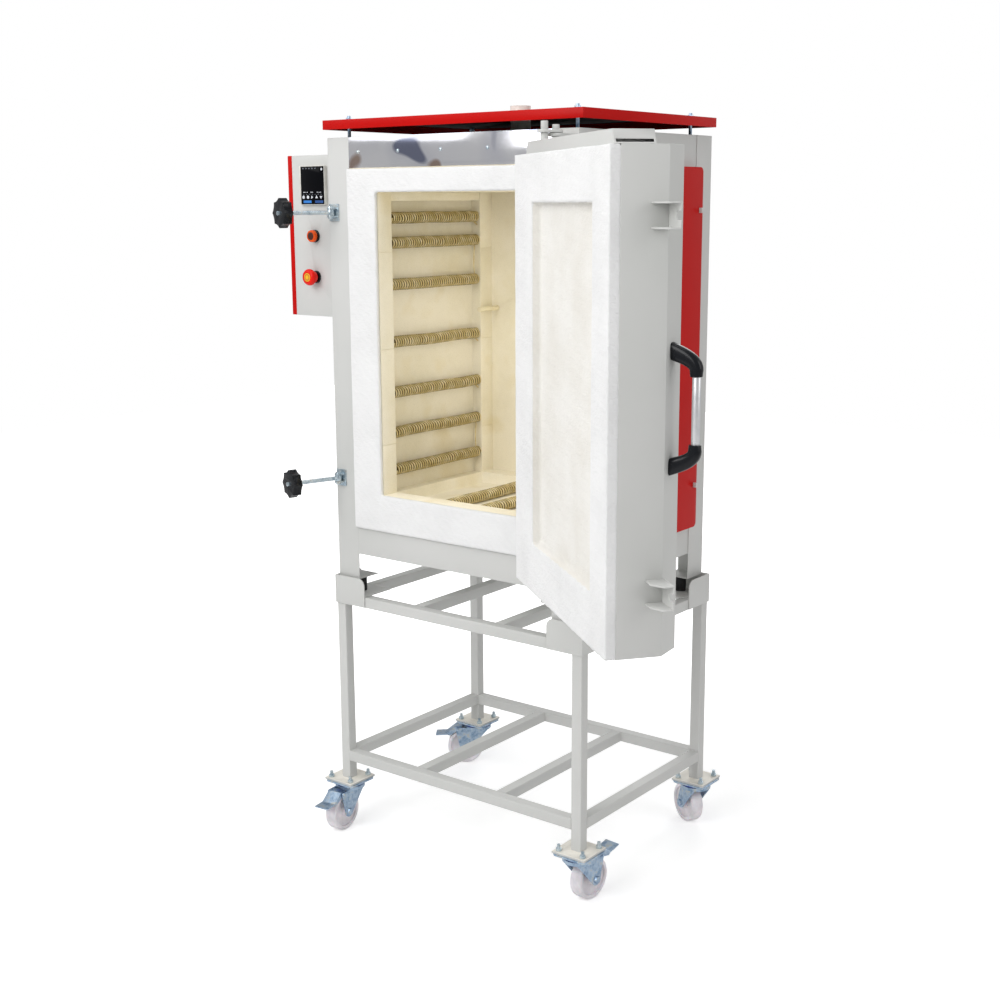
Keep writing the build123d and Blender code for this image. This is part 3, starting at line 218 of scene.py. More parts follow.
def fireBrick(name, pale, deep, stain):
    # Insulating firebrick: sawn, full of pin-sized pores, cream with warmer stains from firing
    material, tree, shader, coords = newMaterial(name, Roughness=0.97)
    shader.inputs["Specular IOR Level"].default_value = 0.2
    cloud = addNode(tree, "ShaderNodeTexNoise", {"Scale": 5.0, "Detail": 6.0, "Roughness": 0.6},
                    {"Vector": coords})
    body = ramp(tree, cloud.outputs["Fac"], [(0.3, deep), (0.55, pale), (0.72, pale)])
    patches = addNode(tree, "ShaderNodeTexNoise", {"Scale": 11.0, "Detail": 2.0}, {"Vector": coords})
    amount = addNode(tree, "ShaderNodeMapRange", {"From Min": 0.56, "From Max": 0.8, "To Max": 0.5},
                     {"Value": patches.outputs["Fac"]})
    warm = addNode(tree, "ShaderNodeMix", {"data_type": "RGBA"})
    tree.links.new(amount.outputs["Result"], warm.inputs["Factor"])
    tree.links.new(body, warm.inputs[6])
    warm.inputs[7].default_value = tint(stain)
    pores = addNode(tree, "ShaderNodeTexVoronoi", {"Scale": 420.0}, {"Vector": coords})
    specks = addNode(tree, "ShaderNodeMapRange", {"From Min": 0.05, "From Max": 0.3},
                     {"Value": pores.outputs["Distance"]})
    dotted = addNode(tree, "ShaderNodeMix", {"data_type": "RGBA", "blend_type": "MULTIPLY"})
    dotted.inputs["Factor"].default_value = 0.22
    tree.links.new(warm.outputs[2], dotted.inputs[6])
    tree.links.new(specks.outputs["Result"], dotted.inputs[7])
    tree.links.new(dotted.outputs[2], shader.inputs["Base Color"])
    sawn = addNode(tree, "ShaderNodeTexNoise", {"Scale": 60.0, "Detail": 5.0}, {"Vector": coords})
    both = addNode(tree, "ShaderNodeMath", {"operation": "ADD"})
    tree.links.new(sawn.outputs["Fac"], both.inputs[0])
    tree.links.new(specks.outputs["Result"], both.inputs[1])
    bump(tree, shader, both.outputs["Value"], 0.35, 0.0012)
    return material


def polishedSteel(name):
    # Mirror-polished stainless sheet, thin enough to show dents and a little polishing haze
    material, tree, shader, coords = newMaterial(name, Metallic=1.0, Roughness=0.09)
    # what stands in front of the plate shows in it as soft darker and lighter fields
    fields = addNode(tree, "ShaderNodeTexNoise", {"Scale": 7.5, "Detail": 0.5, "Distortion": 0.8},
                     {"Vector": coords})
    tone = ramp(tree, fields.outputs["Fac"], [(0.33, "#878CA2"), (0.39, "#E9EAF2"), (0.6, "#F8F8FC")])
    warmth = addNode(tree, "ShaderNodeTexNoise", {"Scale": 13.0, "Detail": 0.5}, {"Vector": coords})
    share = addNode(tree, "ShaderNodeMapRange", {"From Min": 0.7, "From Max": 0.76, "To Max": 0.7},
                    {"Value": warmth.outputs["Fac"]})
    tinted = addNode(tree, "ShaderNodeMix", {"data_type": "RGBA"})
    tree.links.new(share.outputs["Result"], tinted.inputs["Factor"])
    tree.links.new(tone, tinted.inputs[6])
    tinted.inputs[7].default_value = tint("#94683C")
    tree.links.new(tinted.outputs[2], shader.inputs["Base Color"])
    dents = addNode(tree, "ShaderNodeTexNoise", {"Scale": 9.0, "Detail": 1.5}, {"Vector": coords})
    bump(tree, shader, dents.outputs["Fac"], 0.12, 0.01)
    haze = addNode(tree, "ShaderNodeTexNoise", {"Scale": 14.0, "Detail": 5.0}, {"Vector": coords})
    spread = addNode(tree, "ShaderNodeMapRange", {"To Min": 0.05, "To Max": 0.22},
                     {"Value": haze.outputs["Fac"]})
    tree.links.new(spread.outputs["Result"], shader.inputs["Roughness"])
    return material


def firedWire(name):
    # Iron-chrome-aluminium wire after firing: its oxide is tan to straw, and the dark olive brown is painted
    # shade
    material, tree, shader, coords = newMaterial(name, Metallic=0.15, Roughness=0.5)
    scale = addNode(tree, "ShaderNodeTexNoise", {"Scale": 55.0, "Detail": 3.0}, {"Vector": coords})
    colour = ramp(tree, scale.outputs["Fac"], [(0.3, "#CBB57C"), (0.48, "#DCC88E"), (0.7, "#F2E4BA")])
    # painted shade: the top and the underside of each turn are darkened, where the turns shade each other
    facing = addNode(tree, "ShaderNodeSeparateXYZ", {}, {
        "Vector": tree.nodes["Texture Coordinate"].outputs["Normal"]})
    upright = addNode(tree, "ShaderNodeMath", {"operation": "ABSOLUTE"})
    tree.links.new(facing.outputs["Z"], upright.inputs[0])
    turnShade = addNode(tree, "ShaderNodeMapRange", {"From Min": 0.62, "From Max": 0.95, "To Max": 0.9},
                   {"Value": upright.outputs["Value"]})
    shadedWire = addNode(tree, "ShaderNodeMix", {"data_type": "RGBA"})
    tree.links.new(turnShade.outputs["Result"], shadedWire.inputs["Factor"])
    tree.links.new(colour, shadedWire.inputs[6])
    shadedWire.inputs[7].default_value = tint("#3C2F12")
    tree.links.new(shadedWire.outputs[2], shader.inputs["Base Color"])
    bump(tree, shader, scale.outputs["Fac"], 0.3, 0.0004)
    return material


finishes = {
    "grey": powderCoat("PowderCoatLightGrey", "#CFCFCD", "#C8C9C6", 0.42),
    "red": powderCoat("PowderCoatRed", "#C40602", "#B80401", 0.36, gloss=0.14),
    "black": powderCoat("PowderCoatMattBlack", "#121213", "#0B0B0C", 0.6, gloss=0.15),
    "steel": polishedSteel("PolishedStainless"),
    "zinc": zincPlate("ZincPlatedSteel", "#B4C8DC", "#7F9AB8", 0.3),
    "nylon": moulded("MouldedNylon", "#F3EEF3", 0.42, Subsurface_Weight=0.12, Subsurface_Scale=0.004),
    "blue": moulded("MouldedBlueSeal", "#1E3FC4", 0.4),
    "rubber": moulded("BlackRubber", "#17171A", 0.75, grainScale=400.0, grainDepth=0.0004),
    "fibre": fibreBoard("CeramicFibreBoard", "#ECECEC", "#E5E5E5"),
    "panel": fibreBoard("CeramicFibrePanel", "#EBE9E4", "#E4E1DA"),
    "brick": fireBrick("InsulatingFirebrick", "#F8F1DD", "#EDE5CB", "#E6D6A8"),
    "sheath": fireBrick("FiredCeramicTube", "#F3EACD", "#E6DAB6", "#D9C894"),
    "wire": firedWire("OxidisedResistanceWire"),
    # painted shade: dark brown for the ceramic tubes in the shade of their coils
    "scaledTube": fireBrick("ScaledCeramicTube", "#655230", "#54431F", "#40331A"),
    "plated": zincPlate("BrightZincFastener", "#CBD8DF", "#9EB0BC", 0.26),
    "knob": moulded("PhenolicBlack", "#0C0F15", 0.24, Specular_IOR_Level=0.3),
    "cream": moulded("ControllerHousing", "#E6E4DC", 0.42),
    "glass": moulded("ControllerGlass", "#05060A", 0.08, grainDepth=0.0, Specular_IOR_Level=0.12),
    "symbol": moulded("PrintedWhite", "#E6EAF0", 0.5),
    "legend": moulded("PrintedGrey", "#7D828C", 0.5),
    "print": moulded("PrintedBlue", "#2E86E0", 0.5),
    "dimPrint": moulded("PrintedDeepBlue", "#1B4F96", 0.5),
    "arrow": moulded("PrintedRed", "#C8321E", 0.5),
    # painted highlight: a paler coat for the lit upper faces of the legs' pads
    "palePad": powderCoat("PowderCoatPale", "#F2EEE4", "#EAE6DC", 0.42),
    "lamp": moulded("AmberLens", "#F25A0A", 0.2, Specular_IOR_Level=0.3, Subsurface_Weight=0.2,
                    Subsurface_Scale=0.003),
    "lampCore": moulded("AmberLensCore", "#4A1D0C", 0.3),
    "stop": moulded("SignalRed", "#F01606", 0.26, Specular_IOR_Level=0.25),
    "yellow": moulded("SignalYellow", "#F2C21A", 0.4),
    "bright": zincPlate("BrightGripTube", "#E6E7E9", "#DCDEE1", 0.34, "#E9E9EA"),
}

slotFinish = {
    "grey_paint": "grey", "red_paint": "red", "black_lid": "black", "bright_steel": "steel", "zinc": "zinc",
    "blue_plastic": "blue", "nylon": "nylon", "rubber": "rubber", "fibre": "fibre", "brick": "brick",
    "element_ceramic": "sheath", "element_wire": "wire", "black_glass": "glass", "black_plastic": "knob",
    "amber_plastic": "lamp", "signal_red": "stop", "aluminium": "bright",
}
for name, piece in nodes.items():
    piece.data.materials.clear()
    piece.data.materials.append(finishes[slotFinish[slotOf[name]]])


# Tools for the pieces

def deselect():
    if bpy.context.object and bpy.context.object.mode == "EDIT":
        bpy.ops.object.mode_set(mode="OBJECT")
    bpy.ops.object.select_all(action="DESELECT")


def choose(*pieces):
    deselect()
    for piece in pieces:
        piece.select_set(True)
    bpy.context.view_layer.objects.active = pieces[0]


def editAll(piece):
    choose(piece)
    bpy.ops.object.mode_set(mode="EDIT")
    bpy.ops.mesh.select_all(action="SELECT")


def applyModifier(piece, kind, **settings):
    choose(piece)
    modifier = piece.modifiers.new(kind, kind)
    for key, value in settings.items():
        setattr(modifier, key, value)
    bpy.ops.object.modifier_apply(modifier=modifier.name)


def settle(piece, name, body, finish, replaced=(), smooth=35):
    # Place into the mesh, shading, material and the body that the piece rides on
    choose(piece)
    bpy.ops.object.transform_apply(location=True, rotation=True, scale=True)
    bpy.ops.object.shade_smooth_by_angle(angle=radians(smooth))
    piece.name = name
    piece.data.name = name
    if finish:
        piece.data.materials.clear()
        piece.data.materials.append(finishes[finish])
    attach(piece, body)
    if replaced:
        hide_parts(*replaced)
    return piece


def copyOf(node):
    # A CAD piece's mesh as a new object with its triangles merged into faces
    choose(nodes[node])
    bpy.ops.object.duplicate()
    piece = bpy.context.object
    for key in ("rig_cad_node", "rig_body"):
        del piece[key]
    piece.parent = None
    editAll(piece)
    bpy.ops.mesh.remove_doubles(threshold=0.00001)
    bpy.ops.mesh.dissolve_limited(angle_limit=radians(0.5))
    bpy.ops.object.mode_set(mode="OBJECT")
    return piece


def camel(node):
    return "".join(word.capitalize() for word in node.split("_"))


def softened(node, edge, steps=2, finish=None, angle=32, smooth=35):
    # A CAD piece again with its sharp edges broken, as a bend, a casting or a sawn brick has them
    piece = copyOf(node)
    applyModifier(piece, "BEVEL", width=edge * mm, segments=steps, limit_method="ANGLE",
                  angle_limit=radians(angle), miter_outer="MITER_ARC" if steps > 2 else "MITER_SHARP")
    finish = finish or slotFinish[slotOf[node]]
    return settle(piece, camel(node), bodyOf[node], finish, [node], smooth)


def paintFaces(piece, finish, chosen):
    # A second material on the faces that the test picks
    piece.data.materials.append(finishes[finish])
    index = len(piece.data.materials) - 1
    for face in piece.data.polygons:
        if chosen(face):
            face.material_index = index


print("stage: sheet metal")
brokenEdges = {             # mm taken off the edges of each piece
    "stand_legs": 0.6, "stand_upper_frame": 0.5, "stand_lower_frame": 0.5, "stand_corner_brackets": 0.8,
    "casing_posts": 0.7, "casing_skin": 0.6, "front_beam": 0.6, "casing_lid": 0.4, "terminal_cover": 1.3,
    "cover_hooks": 0.8, "control_box": 1.6, "control_box_cover": 1.4, "door_cap": 0.7,
    "door_shell": 1.2, "hinge_brackets": 0.8, "casing_hinge_pins": 0.8, "hinge_links": 0.8,
    "door_hinge_pins": 0.8, "door_hinge_arms": 0.9, "latch_brackets": 0.7, "latch_clevises": 0.6,
    "castor_top_plates": 0.6, "castor_bolts": 0.4, "roof_studs": 0.4, "swing_bolt_upper": 0.6,
    "swing_bolt_lower": 0.6, "handle_tube": 0.3, "front_plate": 0.3, "vent_tube": 0.8,
    "cable_gland": 0.8, "castor_seals": 0.8, "rubber_feet": 1.2, "thermocouple": 0.8,
}
oddFinish = {               # pieces that look unlike the rest of their slot
    "cover_hooks": "grey", "vent_tube": "cream", "castor_bolts": "plated", "latch_clevises": "plated",
    "swing_bolt_upper": "plated", "swing_bolt_lower": "plated",
}
for node, edge in brokenEdges.items():
    softened(node, edge, finish=oddFinish.get(node))
# painted highlight: the upper faces of the legs' pads are painted paler for the light that falls on them
legs = bpy.data.objects["StandLegs"]
paintFaces(legs, "palePad", lambda face: face.normal.z > 0.7 and face.center.z < 0.2)
roof = softened("roof_tray", 0.7)
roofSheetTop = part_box("roof_tray")[1].z
# painted shade: the roof's underside, in shadow over the gap above the casing, is painted matt black
paintFaces(roof, "black", lambda face: face.normal.z < -0.5 and face.center.z > roofSheetTop - 0.005)
for corner in ("front_left", "front_right", "rear_left", "rear_right"):
    softened(f"castor_fork_{corner}", 0.7)
    softened(f"castor_wheel_{corner}", 1.0, steps=3)
    if corner != "rear_right":
        softened(f"brake_pedal_{corner}", 0.9, steps=3)


print("stage: lining and bricks")
for node in ("brick_side_walls", "brick_back_wall", "brick_floor", "brick_ceiling"):
    softened(node, 1.2)
# painted shade: the element tubes are coloured dark brown for the shade inside the coils
softened("element_tubes", 0.8, finish="scaledTube")

fibre = {"voxel": 5.0, "wander": 1.1, "grain": 0.35}    # mm


def felted(node, finish):
    # Fibre board has no hard edge: the sides wander a little and the faces are never quite flat
    piece = copyOf(node)
    choose(piece)
    piece.data.remesh_voxel_size = fibre["voxel"] * mm
    bpy.ops.object.voxel_remesh()
    normals = [vertex.normal.copy() for vertex in piece.data.vertices]
    for vertex, normal in zip(piece.data.vertices, normals):
        coarse = noise.noise(vertex.co * 14) * fibre["wander"]
        fine = noise.noise(vertex.co * 95) * fibre["grain"]
        vertex.co -= normal * (abs(coarse) + abs(fine)) * mm
    return settle(piece, camel(node), bodyOf[node], finish, [node], 60)


felted("fibre_frame", "fibre")
lining = felted("door_lining", "fibre")
panelCorner = onDoor(0, 0, 0)
panel = {                   # mm: the lining's sunk field across the door, above the floor and in depth
    "along": (122, 504),
    "level": (897, 1580),
    "sunk": 3.5,
}


def inPanel(side):
    reach = side.center - panelCorner
    along, deep = reach.dot(doorAlong) / mm, reach.dot(doorDeep) / mm
    level = side.center.z / mm
    return (panel["along"][0] < along < panel["along"][1]
            and panel["level"][0] < level < panel["level"][1] and deep > panel["sunk"])


paintFaces(lining, "panel", inPanel)

# painted shade: a black block inside the cap stands for the shade seen through its slot
slotShade = {"place": (575, 44.5, 1675.5), "size": (17, 68.4, 9), "edge": 0.4}    # mm, on the door
bpy.ops.mesh.primitive_cube_add(size=1, location=onDoor(*slotShade["place"]), rotation=(0, 0, doorTurn))
capSlotShade = bpy.context.object
capSlotShade.scale = [side * mm for side in slotShade["size"]]
choose(capSlotShade)
bpy.ops.object.transform_apply(location=False, rotation=False, scale=True)
applyModifier(capSlotShade, "BEVEL", width=slotShade["edge"] * mm, segments=2)
settle(capSlotShade, "DoorCapLiner", "door", "black")


print("stage: elements")
winding = {
    "wire": 3.7,            # mm
    "radius": 12.3,         # tube axis to wire axis
    "start": 53.0,
    "end": 385.0,
    "turns": 40,
    "steps": 14,
    "wander": 1.6,          # how far the loose coil strays from its tube
}
rows = (1543.0, 1485.0, 1387.0, 1250.0, 1129.0, 1032.0, 941.0)
wallPlace, floorPlace = 220.0, 55.0        # mm from the middle to the tubes in a wall and in the floor
chamberFloor, floorRecess = 887.4, 28.4
sleeveHalf, seatGap = 1.3, 0.3             # half the CAD sleeve's wall, and the clearance under it
floorLevel = chamberFloor - floorRecess + winding["radius"] + sleeveHalf + seatGap
elementPlaces = [(side * wallPlace, z) for side in (-1, 1) for z in rows]
elementPlaces += [(side * floorPlace, floorLevel) for side in (-1, 1)]
pitch = (winding["end"] - winding["start"]) / winding["turns"] * mm

deselect()
bpy.ops.mesh.primitive_circle_add(vertices=6, radius=winding["wire"] / 2 * mm, fill_type="NOTHING",
                                  location=(winding["radius"] * mm, 0, 0), rotation=(pi / 2, 0, 0))
turn = bpy.context.object
bpy.ops.object.transform_apply(location=True, rotation=True, scale=True)
applyModifier(turn, "SCREW", axis="Z", angle=2 * pi, screw_offset=pitch, iterations=winding["turns"],
              steps=winding["steps"], render_steps=winding["steps"], use_merge_vertices=False)
editAll(turn)
bpy.ops.mesh.select_all(action="DESELECT")
bpy.ops.mesh.select_non_manifold()
bpy.ops.mesh.fill()
bpy.ops.mesh.select_all(action="SELECT")
bpy.ops.mesh.normals_make_consistent(inside=False)
bpy.ops.object.mode_set(mode="OBJECT")
coils = []
for number, (x, z) in enumerate(elementPlaces):
    choose(turn)
    bpy.ops.object.duplicate()
    coil = bpy.context.object
    spin = Matrix.Rotation(number * 2.1, 4, "Y") @ Matrix.Rotation(-pi / 2, 4, "X")
    coil.data.transform(Matrix.Translation(at(x, winding["start"], z)) @ spin)
    for vertex in coil.data.vertices:
        stray = noise.noise(Vector((number * 3.7, vertex.co.y * 9, 0)))
        loose = noise.noise(Vector((number * 1.3, 5.0, vertex.co.y * 31)))
        vertex.co.z += stray * winding["wander"] * mm
        vertex.co.y += loose * pitch * 0.35
    coils.append(coil)
bpy.data.objects.remove(turn)
choose(*coils)
bpy.ops.object.join()
settle(bpy.context.object, "ElementWindings", "kiln", "wire", ["element_windings"], 60)


def wirePiece(name, points, radius):
    # A bent wire through points given in mm
    bpy.ops.curve.primitive_bezier_curve_add()
    line = bpy.context.object
    line.data.splines.clear()
    spline = line.data.splines.new("NURBS")
    spline.points.add(len(points) - 1)
    for point, place in zip(spline.points, points):
        point.co = (*at(*place), 1)
    spline.order_u = 3
    spline.use_endpoint_u = True
    line.data.bevel_depth = radius * mm
    line.data.bevel_resolution = 2
    line.data.use_fill_caps = True
    choose(line)
    bpy.ops.object.convert(target="MESH")
    return settle(bpy.context.object, name, "kiln", "wire", smooth=60)


def slab(name, x, y, z, width, depth, height, edge, finish):
    # A small block with bevelled edges: y is its front face
    bpy.ops.mesh.primitive_cube_add(size=1, location=at(x, y + depth / 2, z))
    piece = bpy.context.object
    piece.dimensions = (width * mm, depth * mm, height * mm)
    bpy.ops.object.transform_apply(location=False, rotation=False, scale=True)
    applyModifier(piece, "BEVEL", width=edge * mm, segments=2)
    return settle(piece, name, "kiln", finish)


for side, word in ((-1, "Left"), (1, "Right")):
    slab(f"RecessLintel{word}", side * wallPlace, 48.5, 1592.5, 28.6, 333, 20, 1.2, "brick")
    for top, bottom in ((1485.0, 1387.0), (1032.0, 941.0)):
        x = side * 214.0
        wirePiece(f"ElementLink{word}{int(top)}", [
            (side * wallPlace, 374, top - 12), (x, 371, top - 16), (x, 367, top - 30),
            (x + side, 368, top - 48), (x, 366, bottom + 34), (x, 368, bottom + 20),
            (side * 218.0, 373, bottom + 12)], 1.3)
    for top in (1543.0, 1250.0, 1129.0):
        wirePiece(f"ElementTail{word}{int(top)}", [
            (side * wallPlace, 374, top - 12), (side * 216.0, 376, top - 16),
            (side * 214.0, 380, top - 20)], 1.6)


print("stage: knobs and handle")
for name in ("upper", "lower"):
    softened(f"star_knob_{name}", 1.4, steps=3, smooth=50)

arm = {                     # mm
    "levels": (1330.5, 1132.5),
    "root": (572, 122),     # on the door: along its width and in depth
    "reach": 44.0,          # door to the end's axis
    "drop": 30.0,           # root to the end of the bend
    "straight": 11.0,       # the end beyond the bend
    "bend": 0.8,            # share of the sleeve's rings that the bend takes
    "pull": (62.0, 50.0),   # how strongly the line keeps its heading at the door and at the end
    "slope": 17.0,          # degrees below level where it leaves the door
    "sunk": 4.0,            # cut off by the door's chamfer
    "tall": (15.0, 10.5),   # half the section's height, at the door and at the tube
    "wide": (11.0, 10.5),
    "square": (3.6, 2.1),   # how square the section is: 2 is round
}
handleOut = (doorAlong + doorDeep).normalized()
handleSide = handleOut.cross(Vector((0, 0, 1)))


def armPlace(along):
    # Middle and heading of the arm in (out, down), for 0 at the door to 1 at the tube
    slope = radians(arm["slope"])
    start, finish = Vector((-arm["sunk"], -arm["sunk"] * sin(slope))), Vector((arm["reach"], arm["drop"]))
    leave, arrive = Vector((cos(slope), sin(slope))) * arm["pull"][0], Vector((0, 1)) * arm["pull"][1]
    if along > arm["bend"]:
        beyond = (along - arm["bend"]) / (1 - arm["bend"])
        return finish + Vector((0, beyond * arm["straight"])), Vector((0, 1))
    t = along / arm["bend"]
    place = (start * (2 * t ** 3 - 3 * t ** 2 + 1) + leave * (t ** 3 - 2 * t ** 2 + t)
             + finish * (3 * t ** 2 - 2 * t ** 3) + arrive * (t ** 3 - t ** 2))
    heading = (start * (6 * t ** 2 - 6 * t) + leave * (3 * t ** 2 - 4 * t + 1)
               + finish * (6 * t - 6 * t ** 2) + arrive * (3 * t ** 2 - 2 * t))
    return place, heading.normalized()


def blend(pair, part):
    return pair[0] + (pair[1] - pair[0]) * part


# Each moulded arm is a tapering sleeve: a grid rolled round the arm's line, with its ends closed
for level, way, word in zip(arm["levels"], (-1, 1), ("Upper", "Lower")):
    deselect()
    bpy.ops.mesh.primitive_grid_add(x_subdivisions=32, y_subdivisions=20, size=1)
    sleeve = bpy.context.object
    for vertex in sleeve.data.vertices:
        along, turn = vertex.co.y + 0.5, (vertex.co.x + 0.5) * 2 * pi
        place, heading = armPlace(along)
        power = 2 / blend(arm["square"], along)
        flat = blend(arm["wide"], along) * abs(cos(turn)) ** power * (1 if cos(turn) > 0 else -1)
        high = blend(arm["tall"], along) * abs(sin(turn)) ** power * (1 if sin(turn) > 0 else -1)
        out, down = place.x - heading.y * high, place.y + heading.x * high
        offset = handleOut * max(out, 0.2) + handleSide * flat
        vertex.co = onDoor(*arm["root"], level + way * down) + offset * mm
    editAll(sleeve)
    bpy.ops.mesh.remove_doubles(threshold=0.00002)
    bpy.ops.mesh.select_all(action="DESELECT")
    bpy.ops.mesh.select_non_manifold()
    bpy.ops.mesh.edge_face_add()
    bpy.ops.mesh.select_all(action="SELECT")
    bpy.ops.mesh.normals_make_consistent(inside=False)
    bpy.ops.object.mode_set(mode="OBJECT")
    applyModifier(sleeve, "BEVEL", width=0.0012, segments=3, limit_method="ANGLE", angle_limit=radians(50))
    settle(sleeve, f"HandleArm{word}", "door", "knob", ["handle_ends"], 45)


print("stage: controls")
face = {"x": -423.5, "z": 1620.0, "front": 10.0, "glass": (78.0, 89.5)}
softened("controller", 2.0, steps=3, finish="cream")
slab("ControllerGlass", face["x"], face["front"] - 0.4, face["z"], face["glass"][0], 3, face["glass"][1], 0.8,
     "glass")


def mark(name, x, z, radius, corners, twist, finish="symbol"):
    # A printed sign: a thin raised dot or triangle
    bpy.ops.mesh.primitive_cylinder_add(vertices=corners, radius=radius * mm, depth=0.4 * mm,
                                        location=at(x, face["front"] - 0.5, z),
                                        rotation=(pi / 2, radians(twist), 0))
    piece = bpy.context.object
    bpy.ops.object.transform_apply(location=True, rotation=True, scale=True)
    applyModifier(piece, "BEVEL", width=0.08 * mm, segments=1)
    return settle(piece, name, "kiln", finish)


def across(part):
    # From a fraction of the glass's width to mm
    return face["x"] + (part - 0.5) * face["glass"][0]


def down(part):
    return face["z"] + (0.5 - part) * face["glass"][1]


signs = [(0.11, 4.0, 20, 0), (0.3, 4.0, 20, 0), (0.47, 4.4, 3, 90), (0.67, 5.0, 3, 0), (0.86, 5.0, 3, 180)]
for number, (part, radius, corners, twist) in enumerate(signs):
    mark(f"ControllerSign{number}", across(part), down(0.81), radius, corners, twist)
for number, part in enumerate((0.12, 0.25, 0.38, 0.51, 0.64)):
    mark(f"ControllerLamp{number}", across(part), down(0.055), 1.7, 10, 0, "legend")
mark("ControllerMoon", across(0.91), down(0.08), 3.0, 16, 0, "symbol")
for number, (part, wide) in enumerate(((0.15, 8), (0.27, 4), (0.47, 9), (0.72, 6), (0.83, 5))):
    slab(f"ControllerDash{number}", across(part), face["front"] - 0.6, down(0.68), wide, 0.5, 1.3, 0.15,
         "symbol")
for number in range(7):
    slab(f"ControllerTick{number}", across(0.12 + number * 0.125), face["front"] - 0.6, down(0.735),
         4.2, 0.5, 0.9, 0.12, "legend")
for number, (part, finish) in enumerate(((0.275, "print"), (0.775, "dimPrint"))):
    slab(f"ControllerBlock{number}", across(part), face["front"] - 0.6, down(0.93), 27, 0.6, 6, 0.2, finish)


def turned(name, outline, x, z, body, finish, replaced=()):
    # A turned piece: its outline in (forward, radius) from the box's front face, spun about its axis
    front = 20.0
    bpy.ops.mesh.primitive_plane_add(size=1, location=(0, 0, 0))
    piece = bpy.context.object
    bpy.ops.object.mode_set(mode="EDIT")
    bpy.ops.mesh.delete(type="VERT")
    bpy.ops.object.mode_set(mode="OBJECT")
    piece.data.vertices.add(len(outline))
    for vertex, (forward, radius) in zip(piece.data.vertices, outline):
        vertex.co = at(x, front - forward, z) + Vector((radius * mm, 0, 0))
    piece.data.edges.add(len(outline) - 1)
    for number, edge in enumerate(piece.data.edges):
        edge.vertices = (number, number + 1)
    editAll(piece)
    bpy.ops.mesh.spin(steps=48, angle=2 * pi, center=at(x, 0, z), axis=(0, 1, 0))
    bpy.ops.mesh.select_all(action="SELECT")
    bpy.ops.mesh.remove_doubles(threshold=0.00002)
    bpy.ops.mesh.normals_make_consistent(inside=False)
    bpy.ops.object.mode_set(mode="OBJECT")
    return settle(piece, name, body, finish, replaced, 40)


controlX, startZ, stopZ = -428.5, 1500.0, 1402.0
for name, z in (("Start", startZ), ("Stop", stopZ)):
    turned(f"Collar{name}", [
        (0.0, 15.0), (3.4, 15.0), (4.5, 14.6), (5.0, 13.6), (5.0, 8.0), (0.0, 8.0), (0.0, 15.0)],
        controlX, z, "kiln", "knob", ["button_collars"])
turned("StartLens", [
    (8.3, 0.01), (8.3, 14.2), (12.5, 14.5), (15.4, 13.9), (16.8, 12.4), (17.2, 11.0), (16.8, 9.8),
    (16.2, 9.5), (16.2, 0.01)],
    controlX, startZ, "start_button", "lamp", ["start_button"])
turned("StartLensCore", [(15.8, 0.01), (15.8, 9.4), (16.6, 9.2), (17.1, 7.8), (17.3, 0.01)], controlX, startZ,
       "start_button", "lampCore")
turned("StopHead", [
    (10.3, 0.01), (10.3, 13.8), (17.6, 14.2), (19.2, 15.0), (20.2, 18.0), (21.4, 19.5), (23.6, 20),
    (27.4, 19.5), (30.8, 17.6), (32.6, 14.4), (33.2, 11.6), (32.8, 10.6), (32.5, 10.3), (32.5, 0.01)],
    controlX, stopZ, "estop_button", "stop", ["estop_button"])
turned("StopDisc", [(32.0, 0.01), (32.0, 10.2), (32.8, 10.1), (33.1, 9.5), (33.1, 0.01)], controlX, stopZ,
       "estop_button", "yellow")
turned("StopRing", [(33.0, 5.6), (33.25, 5.7), (33.25, 7.3), (33.0, 7.4), (33.0, 5.6)], controlX, stopZ,
       "estop_button", "arrow")


print("stage: fasteners")
plateScrews = {"places": (-263.0, -139.0, -13.0, 120.0, 246.0), "z": 1694.0, "radius": 4.4, "height": 2.6}
for number, x in enumerate(plateScrews["places"]):
    bpy.ops.mesh.primitive_uv_sphere_add(segments=20, ring_count=10, radius=plateScrews["radius"] * mm,
                                         location=at(x, 0, plateScrews["z"]))
    head = bpy.context.object
    head.scale = (1, plateScrews["height"] / plateScrews["radius"], 1)
    editAll(head)
    bpy.ops.mesh.bisect(plane_co=(0, 0, 0), plane_no=(0, 1, 0), clear_outer=True, use_fill=True)
    settle(head, f"PlateScrew{number}", "kiln", "plated")


print("stage: floor and light")
bpy.ops.mesh.primitive_plane_add(size=14, location=(0, 0, 0))
floor = bpy.context.object
floor.name = "Floor"
floorMaterial, floorTree, floorShader, floorCoords = newMaterial("StudioFloor", Roughness=0.9)
floorShader.inputs["Base Color"].default_value = tint("#F2F2F2")
floorShader.inputs["Specular IOR Level"].default_value = 0.0
floorShader.inputs["Emission Color"].default_value = (1, 1, 1, 1)
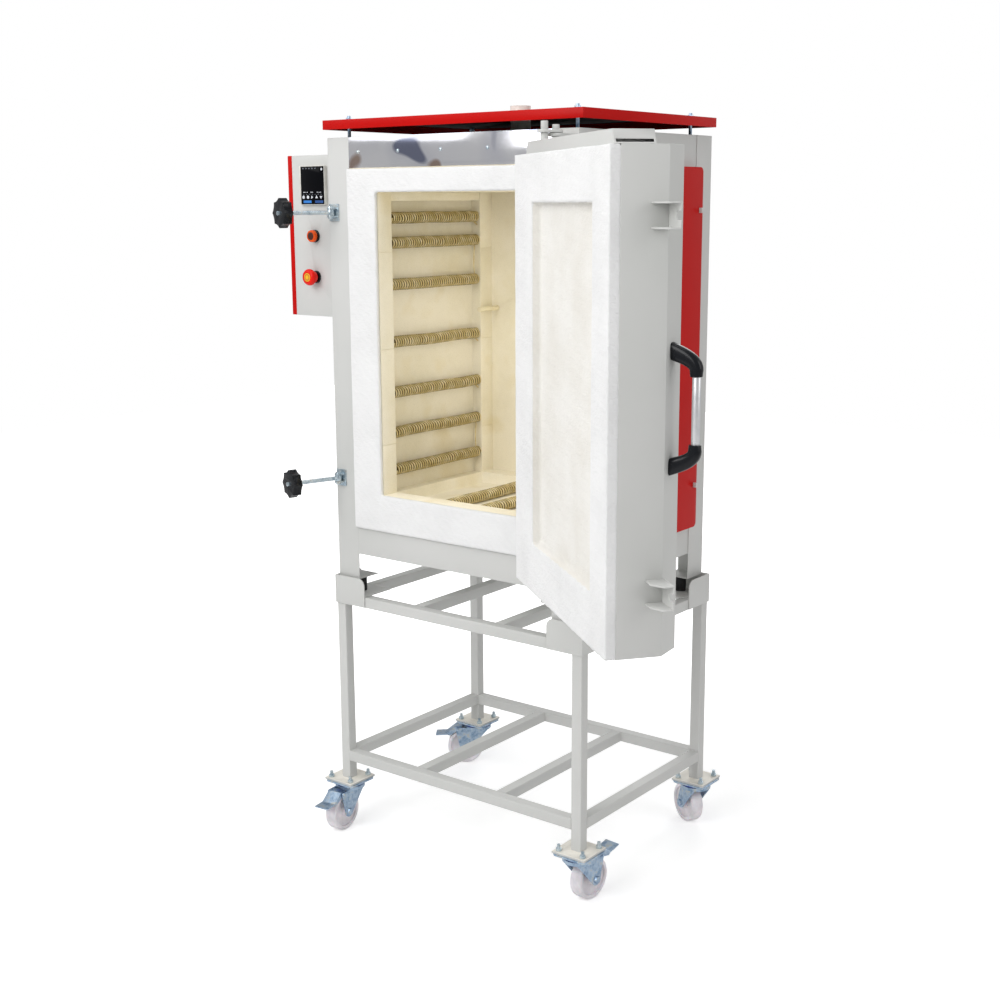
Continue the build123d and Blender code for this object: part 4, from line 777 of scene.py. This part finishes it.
# seen directly the floor is white: a little glow near the part, where its shadow has to stay, and
# more of it away from the part
floorSeen = addNode(floorTree, "ShaderNodeLightPath")
floorAway = addNode(floorTree, "ShaderNodeVectorMath", {"operation": "LENGTH"})
floorTree.links.new(floorCoords, floorAway.inputs[0])
floorGlow = addNode(floorTree, "ShaderNodeMapRange",
                    {"From Min": 0.9, "From Max": 2.2, "To Min": 0.36, "To Max": 1.0},
                    {"Value": floorAway.outputs["Value"]})
floorAmount = addNode(floorTree, "ShaderNodeMath", {"operation": "MULTIPLY"})
floorTree.links.new(floorSeen.outputs["Is Camera Ray"], floorAmount.inputs[0])
floorTree.links.new(floorGlow.outputs["Result"], floorAmount.inputs[1])
floorTree.links.new(floorAmount.outputs["Value"], floorShader.inputs["Emission Strength"])
floor.data.materials.append(floorMaterial)

world = bpy.data.worlds.new("Studio")
bpy.context.scene.world = world
world.use_nodes = True
skyTree = world.node_tree
sky = skyTree.nodes["Background"]
sky.inputs["Color"].default_value = (1, 1, 1, 1)
sky.inputs["Strength"].default_value = 0.42
shown = addNode(skyTree, "ShaderNodeBackground", {"Color": (1, 1, 1, 1), "Strength": 1.0})
rays = addNode(skyTree, "ShaderNodeLightPath")
mixSky = skyTree.nodes.new("ShaderNodeMixShader")
skyTree.links.new(rays.outputs["Is Camera Ray"], mixSky.inputs["Fac"])
skyTree.links.new(sky.outputs["Background"], mixSky.inputs[1])
skyTree.links.new(shown.outputs["Background"], mixSky.inputs[2])
skyTree.links.new(mixSky.outputs["Shader"], skyTree.nodes["World Output"].inputs["Surface"])

lamps = {                   # name: place in mm, size in m, power in W, aimed at in mm
    "KeyLamp": ((-100, -3500, 2900), 2.4, 76, (0, 0, 950)),
    "FillLamp": ((-3000, -2300, 3700), 2.6, 27, (0, 0, 950)),
    "SideLamp": ((3500, 500, 2300), 2.2, 26, (200, 200, 900)),
    "RearLamp": ((-900, 3400, 2600), 2.4, 32, (0, 300, 900)),
    "TopLamp": ((0, -700, 4300), 2.6, 30, (0, 200, 900)),
    "ChamberLamp": ((196, 190, 1230), 0.26, 0.66, (-200, 230, 1215)),
}
for name, (place, size, power, aim) in lamps.items():
    bpy.ops.object.light_add(type="AREA", location=at(*place))
    lamp = bpy.context.object
    lamp.name = name
    lamp.data.size = size
    lamp.data.energy = power
    lamp.rotation_euler = (at(*aim) - at(*place)).to_track_quat("-Z", "Y").to_euler()
# the light that the pale bricks throw to and fro; this lamp itself is never seen
chamberLamp = bpy.data.objects["ChamberLamp"]
chamberLamp.data.shape = "RECTANGLE"
chamberLamp.data.size_y = 0.62
chamberLamp.visible_camera = False
chamberLamp.visible_glossy = False

bpy.context.scene.view_settings.view_transform = "Standard"
